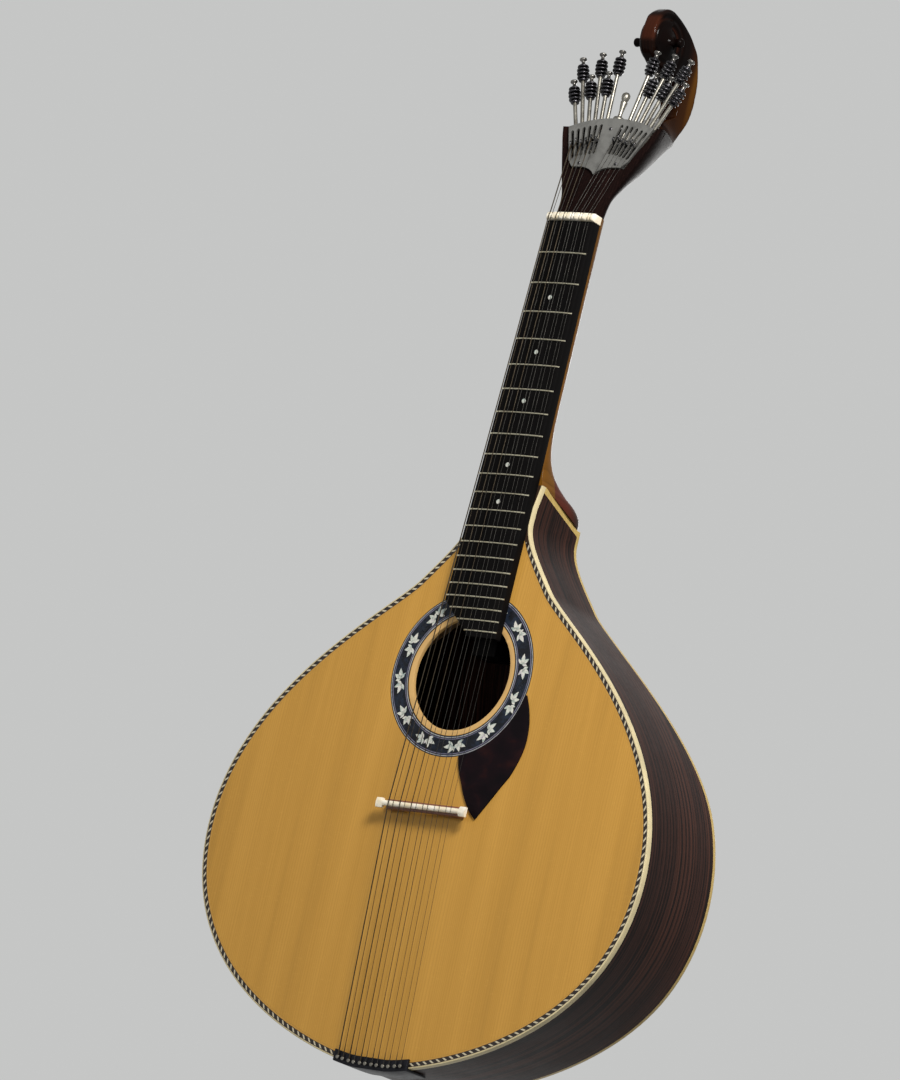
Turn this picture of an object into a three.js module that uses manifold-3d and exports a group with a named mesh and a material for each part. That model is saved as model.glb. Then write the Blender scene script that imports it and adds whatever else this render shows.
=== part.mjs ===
// Portuguese guitar with a fan tuning head and a carved scroll, built as it comes apart on a bench.
// Millimetres. X runs across to the treble side, Y from the front to the back, Z up the instrument.
// The origin is on the tail, at the middle of the side's depth, where a stand carries it.
import * as THREE from 'three';
import { mergeVertices } from 'three/addons/utils/BufferGeometryUtils.js';
import Module from 'manifold-3d';

const wasm = await Module();
wasm.setup();

// Clearances
const GAP = 0.3;
const OVERRUN = 4;

// Strings and neck
const FRET_COUNT = 21;
const NECK_LENGTH = 198;
const STOP_LENGTH = 245;
const SCALE_LENGTH = NECK_LENGTH + STOP_LENGTH;
const NECK_ANGLE = THREE.MathUtils.degToRad(1.18);
const JOINT_DROP = 9;
const COURSES = 6;

// Body
const BODY_LENGTH = 431;
const BODY_HALF_WIDTH = 195;
const BOUT_HEIGHT = 157.5;
const BOUT_LOWER_HANDLE = 127.4;
const BOUT_UPPER_HANDLE = 106.5;
const TAIL_HALF_WIDTH = 12;
const TAIL_HANDLE = 20.2;
const SHOULDER_HALF_WIDTH = 57.4;
const SHOULDER_DROP = 77.1;
const SHOULDER_SLOPE = THREE.MathUtils.degToRad(49.8);
const SHOULDER_LOWER_HANDLE = 30.8;
const SHOULDER_UPPER_HANDLE = 35.2;
const THROAT_HALF_WIDTH = 26;
const THROAT_DROP = 27;
const THROAT_HANDLE = 12;
const JOINT_HALF_WIDTH = 28.5;
const TOP_ARCH = 5;
const DEPTH_AT_NECK = 59.5;
const DEPTH_FULL = 81.5;
const DEPTH_AT_TAIL = 77;
const FLAT_BACK_LOW = 95;
const FLAT_BACK_DROP = 216;
const NECK_TAPER_DROP = 101;
const HEEL_SET_BACK = 17;
const PLATE_THICKNESS = 3;
const RIB_THICKNESS = 2.2;
const BINDING_WIDTH = 5.6;
const LINING_WIDTH = 8;
const LINING_DEPTH = 12;
const LINING_CLEARANCE = 10;
const OUTLINE_STEPS = 14;

// Soundhole, rosette and scratch plate
const SOUNDHOLE_DROP = 143.8;
const SOUNDHOLE_HEIGHT = BODY_LENGTH - SOUNDHOLE_DROP;
const SOUNDHOLE_RADIUS = 41.6;
const ROSETTE_INNER_RADIUS = 45.9;
const ROSETTE_OUTER_RADIUS = 61.5;
const ROSETTE_DEPTH = 1.2;
const ROSETTE_STEPS = 48;
const GUARD_THICKNESS = 1;
const GUARD_REACH = 70.6;
const GUARD_DROP = 103.9;
const GUARD_START_ANGLE = THREE.MathUtils.degToRad(-10.1);
const GUARD_END_ANGLE = THREE.MathUtils.degToRad(-75.1);
const GUARD_STEPS = 5;

// Blocks and braces inside
const NECK_FOOT_LENGTH = 52;
const TAIL_BLOCK_HALF_WIDTH = 32;
const TAIL_BLOCK_LENGTH = 14;
const BRACE_WIDTH = 8;
const BRACE_DEPTH = 14;
const TOP_BRACE_OFFSETS = [-71.2, 56.8];
const BACK_BRACE_HEIGHT = (FLAT_BACK_LOW + BODY_LENGTH - FLAT_BACK_DROP) / 2;

// Bridge
const BRIDGE_LENGTH = 79.5;
const BRIDGE_HEIGHT = 10.9;
const BRIDGE_FOOT_LENGTH = 66;
const BRIDGE_FOOT_HEIGHT = 6;
const BRIDGE_FOOT_THICKNESS = 7;
const BRIDGE_ARCH_LENGTH = 34;
const BRIDGE_ARCH_HEIGHT = 3.4;
const SADDLE_THICKNESS = 3.6;
const SADDLE_END_THICKNESS = 7;
const SADDLE_END_LENGTH = 5.5;

// Tailpiece
const TAILPIECE_HALF_WIDTH = 33;
const TAILPIECE_RISE = 2.4;
const TAILPIECE_LIP = 6.5;
const TAILPIECE_SKIRT = 21;
const TAILPIECE_WALL = 1.8;
const TAILPIECE_STEPS = 12;

// Neck and fingerboard
const NUT_HALF_WIDTH = 20.9;
const FINGERBOARD_TAPER = 0.0192;
const FINGERBOARD_EDGE = 8.9;
const FINGERBOARD_CAMBER = 1.3;
const FINGERBOARD_OVERHANG = 4.6;
const FINGERBOARD_SLANT_RISE = 24.9;
const FINGERBOARD_SLANT_LEFT = -25;
const FINGERBOARD_SLANT_RIGHT = 3;
const FRET_HEIGHT = 0.9;
const FRET_WIDTH = 1.8;
const FRET_CROWN = 0.8;
const NECK_DEPTH = 23;
const NECK_INSET = 0.5;
const NECK_STEPS = 6;
const HEEL_LENGTH = 50;
const HEEL_HALF_WIDTH = 28.5;
const NUT_THICKNESS = 6;
const NUT_RISE = 1.2;

// Head
const HEAD_ANGLE = THREE.MathUtils.degToRad(10.6);
const HEAD_FACE_DROP = 5.1;
const FAN_RAIL_RADIUS = 95.2;
const HEAD_LENGTH = FAN_RAIL_RADIUS - 14.7;
const HEAD_HALF_WIDTH = 45;
const HEAD_KEEL_DEPTH = 85.3;
const HEAD_KEEL_RISE = 10.5;
const HEAD_KEEL_LENGTH = HEAD_LENGTH + HEAD_KEEL_RISE;

// Fan machine
const FAN_DROP = 6.1;
const FAN_FIRST_ANGLE = THREE.MathUtils.degToRad(5.99);
const FAN_STEP_ANGLE = THREE.MathUtils.degToRad(3.16);
const FAN_PLATE_THICKNESS = 1.6;
const FAN_RAIL_THICKNESS = 2.2;
const FAN_RAIL_DEPTH = 9.5;
const FAN_LIP_DEPTH = 10;
const FAN_LIP_HALF_ANGLE = THREE.MathUtils.degToRad(22.6);
const FAN_STEPS = 10;
const FAN_HALF_ANGLE = THREE.MathUtils.degToRad(23.7);
const FAN_SHOULDER_HALF_WIDTH = 26.6;
const FAN_SHOULDER_HEIGHT = FAN_RAIL_RADIUS - 36.6;
const FAN_SKIRT_HALF_WIDTH = 22;
const FAN_SKIRT_HEIGHT = FAN_RAIL_RADIUS - 41.6;
const FAN_SKIRT_FLAT = 14.4;
const FAN_TIP_HEIGHT = FAN_RAIL_RADIUS - 47.8;
const SLOT_INNER_RADIUS = FAN_RAIL_RADIUS - 30.5;
const SLOT_OUTER_RADIUS = FAN_RAIL_RADIUS - 4.6;
const SLOT_WIDTH = 2.6;
const RECESS_DEPTH = 13;
const RECESS_INNER_RADIUS = FAN_RAIL_RADIUS - 37.2;

// Tuning screws and hooks
const ROD_DEPTH = 4.9;
const ROD_LEAN = THREE.MathUtils.degToRad(4.9);
const ROD_RADIUS = 1.5;
const ROD_SIDES = 8;
const THREAD_RADIUS = 1;
const COLLAR_RADIUS = 2;
const COLLAR_LENGTH = 1.6;
const SCREW_END_RADIUS = FAN_RAIL_RADIUS - 34.2;
const SHORT_TIP_RADIUS = FAN_RAIL_RADIUS + 42.1;
const LONG_TIP_RADIUS = FAN_RAIL_RADIUS + 58.9;
const KNOB_LENGTH = 20;
const KNOB_RADIUS = 4.5;
const HOOK_REST_RADIUS = FAN_RAIL_RADIUS - 18.7;
const HOOK_SPREAD = 1.4;
const HOOK_LENGTH = 6;
const HOOK_WIDTH = 3.3;
const HOOK_DEPTH = 4;
const HOOK_TONGUE_LENGTH = 3.2;
const HOOK_TONGUE_WIDTH = 1.6;
const HOOK_HEAD_RISE = 3;
const HOOK_HEAD_WIDTH = 2.6;
const LOOP_MAKER_RISE = 23;
const LOOP_MAKER_RADIUS = 4.2;

// Scroll
const SCROLL_EYE_LENGTH = HEAD_KEEL_LENGTH + 67.6;
const SCROLL_EYE_DEPTH = 50.7;
const SCROLL_RADIUS = 28;
const SCROLL_HALF_WIDTH = 8.5;
const SCROLL_ROOT_HALF_WIDTH = 34;
const SCROLL_EYE_HALF_WIDTH = 18.5;
const SCROLL_EYE_RADIUS = 13;
const SCROLL_BUTTON_RADIUS = 3.6;
const SCROLL_BUTTON_LENGTH = 3;
const SCROLL_SIDES = 16;
const SCROLL_BACK_STEPS = 60;
const SCROLL_STEM_STEPS = 14;

// Cords
const CORD_SIDES = 5;

// Strings, from the bass side to the treble side
const STRING_RADII = [0.42, 0.22, 0.36, 0.18, 0.3, 0.16, 0.2, 0.2, 0.15, 0.15, 0.13, 0.13];
const COURSE_SPACING_AT_NUT = 6.9;
const COURSE_SPACING_AT_BRIDGE = 10.3;
const PAIR_SPACING_AT_NUT = 2.3;
const PAIR_SPACING_AT_BRIDGE = 4.2;
const PAIR_SPACING_AT_TAIL = 4.7;

// Materials
const colour = (hex, roughness, metalness = 0) =>
  new THREE.MeshStandardMaterial({ color: hex, roughness, metalness });
const SPRUCE = colour(0xd9a657, 0.3);
const ROSEWOOD = colour(0x3b221b, 0.3);
const NECK_WOOD = colour(0x8a4a1f, 0.3);
const HEAD_WOOD = colour(0x1d1210, 0.3);
const EBONY = colour(0x14110f, 0.4);
const CREAM = colour(0xe6d59a, 0.4);
const BONE = colour(0xe9dcc6, 0.45);
const INLAY = colour(0x2a2d30, 0.25);
const INNER_WOOD = colour(0xb98a55, 0.8);
const BLACK_METAL = colour(0x17171c, 0.4, 0.8);
const NICKEL = colour(0x9a9890, 0.35, 1);
const DARK_NICKEL = colour(0x5a5754, 0.3, 1);
const STEEL = colour(0xb4b2ad, 0.3, 1);

// Geometry helpers

// A closed mesh ready for joining and cutting
function toSolid(geometry) {
  const plain = geometry.clone();
  plain.deleteAttribute('normal');
  plain.deleteAttribute('uv');
  const merged = mergeVertices(plain, 1e-4);
  const vertProperties = new Float32Array(merged.attributes.position.array);
  const triVerts = new Uint32Array(merged.index.array);
  return new wasm.Manifold(new wasm.Mesh({ numProp: 3, vertProperties, triVerts }));
}

function fromSolid(body) {
  const found = body.getMesh();
  const geometry = new THREE.BufferGeometry();
  geometry.setAttribute('position', new THREE.BufferAttribute(found.vertProperties, 3));
  geometry.setIndex(new THREE.BufferAttribute(found.triVerts, 1));
  geometry.computeVertexNormals();
  return geometry;
}

function cut(geometry, ...tools) {
  return fromSolid(tools.reduce((body, tool) => body.subtract(toSolid(tool)), toSolid(geometry)));
}

function join(geometry, ...others) {
  return fromSolid(others.reduce((body, other) => body.add(toSolid(other)), toSolid(geometry)));
}

// Faces of an indexed geometry turned outwards
function outward(geometry) {
  const index = geometry.index;
  const place = geometry.attributes.position;
  const [a, b, c] = [new THREE.Vector3(), new THREE.Vector3(), new THREE.Vector3()];
  let volume = 0;
  for (let i = 0; i < index.count; i += 3) {
    a.fromBufferAttribute(place, index.getX(i));
    b.fromBufferAttribute(place, index.getX(i + 1));
    c.fromBufferAttribute(place, index.getX(i + 2));
    volume += a.dot(b.cross(c));
  }
  if (volume < 0) {
    for (let i = 0; i < index.count; i += 3) {
      const first = index.getX(i);
      index.setX(i, index.getX(i + 1));
      index.setX(i + 1, first);
    }
  }
  geometry.computeVertexNormals();
  return geometry;
}

// A closed skin over rings of equal length; each end is closed by a fan from its first point
function loft(rings) {
  const size = rings[0].length;
  const positions = rings.flat().flatMap((point) => [point.x, point.y, point.z]);
  const index = [];
  for (let r = 0; r + 1 < rings.length; r += 1) {
    for (let i = 0; i < size; i += 1) {
      const j = (i + 1) % size;
      const [p, q] = [r * size + i, r * size + j];
      index.push(p, q, q + size, p, q + size, p + size);
    }
  }
  const last = (rings.length - 1) * size;
  for (let i = 1; i + 1 < size; i += 1) {
    index.push(0, i + 1, i);
    index.push(last, last + i, last + i + 1);
  }
  const geometry = new THREE.BufferGeometry();
  geometry.setAttribute('position', new THREE.Float32BufferAttribute(positions, 3));
  geometry.setIndex(index);
  return outward(geometry);
}

const point = (x, y, z) => new THREE.Vector3(x, y, z);

// A box given by its lowest and highest corners
function boxBetween(low, high) {
  const size = high.clone().sub(low);
  const centre = high.clone().add(low).multiplyScalar(1 / 2);
  return new THREE.BoxGeometry(size.x, size.y, size.z).translate(centre.x, centre.y, centre.z);
}

// A shape drawn in X and Z, pushed from front to back along Y
function slab(shape, front, back, curveSegments = 8) {
  const options = { depth: back - front, bevelEnabled: false, curveSegments };
  return new THREE.ExtrudeGeometry(shape, options).rotateX(Math.PI / 2).translate(0, back, 0);
}

function addMesh(parent, name, geometry, material) {
  const mesh = new THREE.Mesh(geometry, material);
  mesh.name = name;
  parent.add(mesh);
  return mesh;
}

// Body outline and surfaces

// Treble half of the outline from the tail up to the neck joint, as points of x and z
function halfOutline() {
  const throatHeight = BODY_LENGTH - THROAT_DROP;
  const slope = new THREE.Vector2(Math.cos(SHOULDER_SLOPE), -Math.sin(SHOULDER_SLOPE));
  const shoulder = new THREE.Vector2(SHOULDER_HALF_WIDTH, BODY_LENGTH - SHOULDER_DROP);
  const below = shoulder.clone().addScaledVector(slope, SHOULDER_LOWER_HANDLE);
  const above = shoulder.clone().addScaledVector(slope, -SHOULDER_UPPER_HANDLE);
  const path = new THREE.Path();
  path.moveTo(TAIL_HALF_WIDTH, 0);
  path.bezierCurveTo(
    TAIL_HALF_WIDTH + TAIL_HANDLE, 0,
    BODY_HALF_WIDTH, BOUT_HEIGHT - BOUT_LOWER_HANDLE,
    BODY_HALF_WIDTH, BOUT_HEIGHT,
  );
  path.bezierCurveTo(
    BODY_HALF_WIDTH, BOUT_HEIGHT + BOUT_UPPER_HANDLE,
    below.x, below.y,
    shoulder.x, shoulder.y,
  );
  path.bezierCurveTo(
    above.x, above.y,
    THROAT_HALF_WIDTH, throatHeight - THROAT_HANDLE,
    THROAT_HALF_WIDTH, throatHeight,
  );
  const points = path.getPoints(OUTLINE_STEPS);
  points.push(new THREE.Vector2(THROAT_HALF_WIDTH, BODY_LENGTH - HEEL_SET_BACK));
  points.push(new THREE.Vector2(JOINT_HALF_WIDTH, BODY_LENGTH));
  return points;
}

const OUTLINE = halfOutline();

// The outline moved inwards by a distance, square to itself
function inset(distance) {
  const last = OUTLINE.length - 1;
  return OUTLINE.map((here, i) => {
    const along = OUTLINE[Math.min(i + 1, last)].clone().sub(OUTLINE[Math.max(i - 1, 0)]);
    if (i === 0) along.set(1, 0);
    if (i >= last - 1) along.set(0, 1);
    along.normalize();
    return new THREE.Vector2(here.x - along.y * distance, here.y + along.x * distance);
  });
}

// Half width of the outline above the bout, moved inwards by a distance
function halfWidthAt(height, distance = 0) {
  const points = inset(distance);
  for (let i = points.length - 1; i > 0; i -= 1) {
    const [low, high] = [points[i - 1], points[i]];
    if (low.y <= height) {
      const share = Math.min((height - low.y) / (high.y - low.y), 1);
      return low.x + (high.x - low.x) * share;
    }
  }
  return points[0].x;
}

// Half width of the outline below the bout, moved inwards by a distance
function lowerHalfWidthAt(height, distance = 0) {
  const points = inset(distance);
  for (let i = 1; i < points.length; i += 1) {
    const [low, high] = [points[i - 1], points[i]];
    if (high.y >= height) {
      const share = Math.max((height - low.y) / (high.y - low.y), 0);
      return low.x + (high.x - low.x) * share;
    }
  }
  return points[0].x;
}

function widthAt(height, distance) {
  return height > BOUT_HEIGHT ? halfWidthAt(height, distance) : lowerHalfWidthAt(height, distance);
}

// Front face of the arched soundboard at a height
function frontY(height) {
  const share = THREE.MathUtils.clamp(height / BODY_LENGTH, 0, 1);
  return -TOP_ARCH * 4 * share * (1 - share);
}

// Outer face of the back at a height: flat over the bout, shallower at the neck and at the tail
function backY(height) {
  const below = BODY_LENGTH - height;
  const upper = 1 - THREE.MathUtils.smoothstep(below, NECK_TAPER_DROP, FLAT_BACK_DROP);
  const lower = 1 - THREE.MathUtils.smoothstep(height, 0, FLAT_BACK_LOW);
  return DEPTH_FULL - (DEPTH_FULL - DEPTH_AT_NECK) * upper - (DEPTH_FULL - DEPTH_AT_TAIL) * lower;
}

const innerFrontY = (height) => frontY(height) + PLATE_THICKNESS + GAP;
const innerBackY = (height) => backY(height) - PLATE_THICKNESS - GAP;

// A wall between two outlines: stations of x and z with the y of its front and back at each
function wallRings(outer, inner, front, back) {
  return outer.map((here, i) => {
    const beside = inner[i];
    return [
      point(here.x, front(here.y), here.y),
      point(here.x, back(here.y), here.y),
      point(beside.x, back(beside.y), beside.y),
      point(beside.x, front(beside.y), beside.y),
    ];
  });
}

const mirrorRing = (ring) => ring.map((here) => point(-here.x, here.y, here.z));

// Rings of one half carried round the tail to the other half
function bothHalves(rings) {
  return [...rings.map(mirrorRing).reverse(), ...rings];
}

const upTo = (height) => (here) => here.y <= height;
const BACK_END = BODY_LENGTH - HEEL_SET_BACK;

function binding(front, back, end) {
  const count = OUTLINE.filter(upTo(end)).length;
  const outer = OUTLINE.slice(0, count);
  const inner = inset(BINDING_WIDTH).slice(0, count);
  return loft(bothHalves(wallRings(outer, inner, front, back)));
}

// A plate that fills the outline between two faces
function plate(front, back, end) {
  const edge = inset(BINDING_WIDTH + GAP).filter(upTo(end));
  const rings = edge.map((here) => [
    point(-here.x, front(here.y), here.y),
    point(here.x, front(here.y), here.y),
    point(here.x, back(here.y), here.y),
    point(-here.x, back(here.y), here.y),
  ]);
  return loft(rings);
}

// A geometry bent to the arch of the soundboard
function arched(geometry) {
  const place = geometry.attributes.position;
  for (let i = 0; i < place.count; i += 1) {
    place.setY(i, place.getY(i) + frontY(place.getZ(i)));
  }
  return geometry;
}

// A ring across the front, bent to the arch of the soundboard
function archedRing(inner, outer, front, back) {
  const shape = new THREE.Shape().absarc(0, SOUNDHOLE_HEIGHT, outer, 0, Math.PI * 2);
  shape.holes.push(new THREE.Path().absarc(0, SOUNDHOLE_HEIGHT, inner, 0, Math.PI * 2, true));
  return arched(slab(shape, front, back, ROSETTE_STEPS));
}

function soundboard() {
  const whole = plate(frontY, (height) => frontY(height) + PLATE_THICKNESS, BODY_LENGTH);
  const hole = new THREE.Shape().absarc(0, SOUNDHOLE_HEIGHT, SOUNDHOLE_RADIUS, 0, Math.PI * 2);
  const drill = slab(hole, -TOP_ARCH - OVERRUN, PLATE_THICKNESS + OVERRUN, ROSETTE_STEPS);
  const groove = archedRing(
    ROSETTE_INNER_RADIUS - GAP,
    ROSETTE_OUTER_RADIUS + GAP,
    -OVERRUN,
    ROSETTE_DEPTH + GAP,
  );
  return cut(whole, drill, groove);
}

const rosette = () => archedRing(ROSETTE_INNER_RADIUS, ROSETTE_OUTER_RADIUS, 0, ROSETTE_DEPTH);

// One bent side, whose upper end slopes back under the heel
function rib() {
  const outer = OUTLINE.slice();
  const inner = inset(RIB_THICKNESS);
  const front = (height) => innerFrontY(height);
  const back = (height) => innerBackY(height);
  const rings = wallRings(outer, inner, front, back);
  const slopes = rings.at(-1);
  const foot = rings.at(-2);
  rings[rings.length - 1] = [slopes[0], foot[1], foot[2], slopes[3]];
  rings.splice(rings.length - 2, 1);
  rings[0][0].x = TAIL_HALF_WIDTH + GAP;
  rings[0][1].x = TAIL_HALF_WIDTH + GAP;
  rings[0][2].x = TAIL_HALF_WIDTH + GAP;
  rings[0][3].x = TAIL_HALF_WIDTH + GAP;
  return rings;
}

// A triangular strip glued into the corner between a side and a plate
function lining(edge, deep) {
  const end = BACK_END - NECK_FOOT_LENGTH - LINING_CLEARANCE;
  const outer = inset(RIB_THICKNESS + GAP).filter(upTo(end));
  const inner = inset(RIB_THICKNESS + GAP + LINING_WIDTH).slice(0, outer.length);
  const rings = outer.map((here, i) => [
    point(here.x, edge(here.y), here.y),
    point(here.x, edge(here.y) + deep, here.y),
    point(inner[i].x, edge(inner[i].y), inner[i].y),
  ]);
  return loft(bothHalves(rings));
}

// Foot of the neck inside the body, where the sides are let into it
function neckFoot() {
  const edge = inset(RIB_THICKNESS + GAP * 2);
  const last = edge.length - 1;
  const ring = (front, back) => [
    point(-front.x, innerFrontY(front.y), front.y),
    point(front.x, innerFrontY(front.y), front.y),
    point(back.x, innerBackY(back.y), back.y),
    point(-back.x, innerBackY(back.y), back.y),
  ];
  const inside = edge.slice(0, last - 1).filter((here) => here.y > BACK_END - NECK_FOOT_LENGTH);
  const end = ring(edge[last], edge[last - 1]);
  const beyond = end.map((here) => here.clone().add(point(0, 0, OVERRUN)));
  return loft([...inside.map((here) => ring(here, here)), end, beyond]);
}

// Block that joins the sides at the tail, with the flat strip that shows between them
function tailBlock() {
  const low = RIB_THICKNESS + GAP;
  const heights = [low, low + TAIL_BLOCK_LENGTH];
  const rise = lowerHeightAt(TAIL_BLOCK_HALF_WIDTH) + RIB_THICKNESS + GAP;
  const outline = [
    [-TAIL_BLOCK_HALF_WIDTH, rise],
    [-TAIL_HALF_WIDTH, low],
    [-TAIL_HALF_WIDTH, RIB_THICKNESS / 2],
    [TAIL_HALF_WIDTH, RIB_THICKNESS / 2],
    [TAIL_HALF_WIDTH, low],
    [TAIL_BLOCK_HALF_WIDTH, rise],
    [TAIL_BLOCK_HALF_WIDTH, heights[1]],
    [-TAIL_BLOCK_HALF_WIDTH, heights[1]],
  ];
  const shape = new THREE.Shape(outline.map(([x, z]) => new THREE.Vector2(x, z)));
  const front = frontY(0) + PLATE_THICKNESS + LINING_DEPTH + GAP;
  const back = backY(0) - PLATE_THICKNESS - LINING_DEPTH - GAP;
  const skirt = TAILPIECE_SKIRT + GAP;
  const behindSkirt = boxBetween(
    point(-TAIL_HALF_WIDTH, innerFrontY(0), GAP),
    point(TAIL_HALF_WIDTH, skirt, RIB_THICKNESS),
  );
  const strip = boxBetween(
    point(-TAIL_HALF_WIDTH, skirt, 0),
    point(TAIL_HALF_WIDTH, innerBackY(0), RIB_THICKNESS),
  );
  return join(slab(shape, front, back), behindSkirt, strip);
}

// Height of the outline near the tail at a distance from the middle
function lowerHeightAt(x) {
  const high = OUTLINE.findIndex((here) => here.x >= x);
  const [from, to] = [OUTLINE[high - 1], OUTLINE[high]];
  return from.y + ((to.y - from.y) * (x - from.x)) / (to.x - from.x);
}

// A bar across the inside, tapered towards its ends
function brace(height, seat, deep, clear) {
  const half = widthAt(height, RIB_THICKNESS + LINING_WIDTH + clear);
  const taper = half * (2 / 3);
  const stations = [[-half, deep / 3], [-taper, deep], [taper, deep], [half, deep / 3]];
  const [low, high] = [height - BRACE_WIDTH / 2, height + BRACE_WIDTH / 2];
  return loft(stations.map(([x, reach]) => [
    point(x, seat, low),
    point(x, seat, high),
    point(x, seat + reach, high),
    point(x, seat + reach, low),
  ]));
}

const topBrace = (height) => {
  const seat = Math.max(innerFrontY(height - BRACE_WIDTH / 2), innerFrontY(height + BRACE_WIDTH / 2));
  return brace(height, seat, BRACE_DEPTH, BRACE_WIDTH);
};

const backBrace = (height) => {
  const seat = Math.min(innerBackY(height - BRACE_WIDTH / 2), innerBackY(height + BRACE_WIDTH / 2));
  return brace(height, seat, -BRACE_DEPTH, BRACE_WIDTH);
};

// Edges of the scratch plate from the rosette to its tip and back: shares of its reach and drop
const GUARD_INNER_SHARES = [
  [0.225, 0.575], [0.258, 0.657], [0.339, 0.765], [0.409, 0.852], [0.504, 0.94], [0.602, 1],
];
const GUARD_OUTER_SHARES = [
  [0.735, 0.859], [0.837, 0.748], [0.919, 0.658], [0.997, 0.493], [1, 0.346], [0.953, 0.216],
  [0.881, 0.107],
];

// A leaf of black shell between the rosette and the bridge, on the treble side
function scratchPlate() {
  const radius = ROSETTE_OUTER_RADIUS + GAP;
  const place = ([across, down]) => new THREE.Vector2(
    GUARD_REACH * across,
    SOUNDHOLE_HEIGHT - GUARD_DROP * down,
  );
  const shape = new THREE.Shape();
  shape.absarc(0, SOUNDHOLE_HEIGHT, radius, GUARD_START_ANGLE, GUARD_END_ANGLE, true);
  shape.splineThru(GUARD_INNER_SHARES.map(place));
  shape.splineThru(GUARD_OUTER_SHARES.map(place));
  return arched(slab(shape, -GUARD_THICKNESS - GAP, -GAP, GUARD_STEPS));
}

// Bridge

const NUT_PLACE = point(
  0,
  NECK_LENGTH * Math.sin(NECK_ANGLE) - JOINT_DROP * Math.cos(NECK_ANGLE),
  BODY_LENGTH + NECK_LENGTH * Math.cos(NECK_ANGLE) + JOINT_DROP * Math.sin(NECK_ANGLE),
);
const BRIDGE_PLACE = NUT_PLACE.z - SCALE_LENGTH * Math.cos(NECK_ANGLE);
const BRIDGE_SEAT = Math.min(
  frontY(BRIDGE_PLACE - BRIDGE_FOOT_THICKNESS / 2),
  frontY(BRIDGE_PLACE + BRIDGE_FOOT_THICKNESS / 2),
) - GAP;

function bridgeFoot() {
  const half = BRIDGE_FOOT_THICKNESS / 2;
  const top = BRIDGE_SEAT - BRIDGE_FOOT_HEIGHT;
  const blank = boxBetween(
    point(-BRIDGE_FOOT_LENGTH / 2, top, BRIDGE_PLACE - half),
    point(BRIDGE_FOOT_LENGTH / 2, BRIDGE_SEAT, BRIDGE_PLACE + half),
  );
  const arch = new THREE.CylinderGeometry(1, 1, BRIDGE_FOOT_THICKNESS + OVERRUN, 16);
  arch.rotateX(Math.PI / 2).scale(BRIDGE_ARCH_LENGTH / 2, BRIDGE_ARCH_HEIGHT, 1);
  arch.translate(0, BRIDGE_SEAT, BRIDGE_PLACE);
  return cut(blank, arch);
}

function saddle() {
  const half = SADDLE_THICKNESS / 2;
  const crest = BRIDGE_SEAT - BRIDGE_HEIGHT + GAP;
  const foot = BRIDGE_SEAT - BRIDGE_FOOT_HEIGHT - GAP;
  const reach = BRIDGE_LENGTH / 2;
  const bar = boxBetween(point(-reach, crest, BRIDGE_PLACE - half), point(reach, foot, BRIDGE_PLACE + half));
  const horn = (side) => {
    const outer = side * reach;
    const inner = side * (reach - SADDLE_END_LENGTH);
    const low = BRIDGE_PLACE - SADDLE_END_THICKNESS / 2;
    const high = BRIDGE_PLACE + SADDLE_END_THICKNESS / 2;
    return boxBetween(
      point(Math.min(outer, inner), crest, low),
      point(Math.max(outer, inner), foot, high),
    );
  };
  return join(bar, horn(1), horn(-1));
}

// Tailpiece

// An angle of dark metal over the edge of the tail, bent to the outline
function tailpiece() {
  const stations = [];
  for (let i = 0; i <= TAILPIECE_STEPS; i += 1) {
    const x = TAILPIECE_HALF_WIDTH * ((2 * i) / TAILPIECE_STEPS - 1);
    const edge = Math.abs(x) > TAIL_HALF_WIDTH ? lowerHeightAt(Math.abs(x)) : 0;
    const [under, lip] = [edge - GAP, edge + TAILPIECE_LIP];
    const top = frontY(lip) - GAP;
    stations.push([
      point(x, top, under),
      point(x, top, lip),
      point(x, top - TAILPIECE_RISE, lip),
      point(x, top - TAILPIECE_RISE, under - TAILPIECE_WALL),
      point(x, TAILPIECE_SKIRT, under - TAILPIECE_WALL),
      point(x, TAILPIECE_SKIRT, under),
    ]);
  }
  return loft(stations);
}

// Neck and head, drawn from the nut: y runs up the neck and z towards the player's eye
const fromNut = (x, y, z) => point(x, -z, y);

const fretPlace = (number) => -SCALE_LENGTH * (1 - 2 ** (-number / 12));

// Height of the soundboard below the plane of the frets
function soundboardFromNut(y) {
  const beyond = Math.min(y + NECK_LENGTH, 0);
  return -JOINT_DROP + beyond * Math.tan(NECK_ANGLE) - frontY(BODY_LENGTH + beyond);
}

const boardHalfWidth = (y) => NUT_HALF_WIDTH - FINGERBOARD_TAPER * y;

function fingerboardRing(y, rise) {
  const half = boardHalfWidth(y);
  const overBody = y < -NECK_LENGTH;
  const under = overBody ? soundboardFromNut(y) + GAP : -FINGERBOARD_EDGE;
  const across = [-1, -1 / 2, 0, 1 / 2, 1];
  const top = across.map((share) => fromNut(
    half * share,
    y,
    -FRET_HEIGHT + rise + FINGERBOARD_CAMBER * (1 - share * share),
  ));
  return [fromNut(half, y, under), fromNut(-half, y, under), ...top];
}

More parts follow.
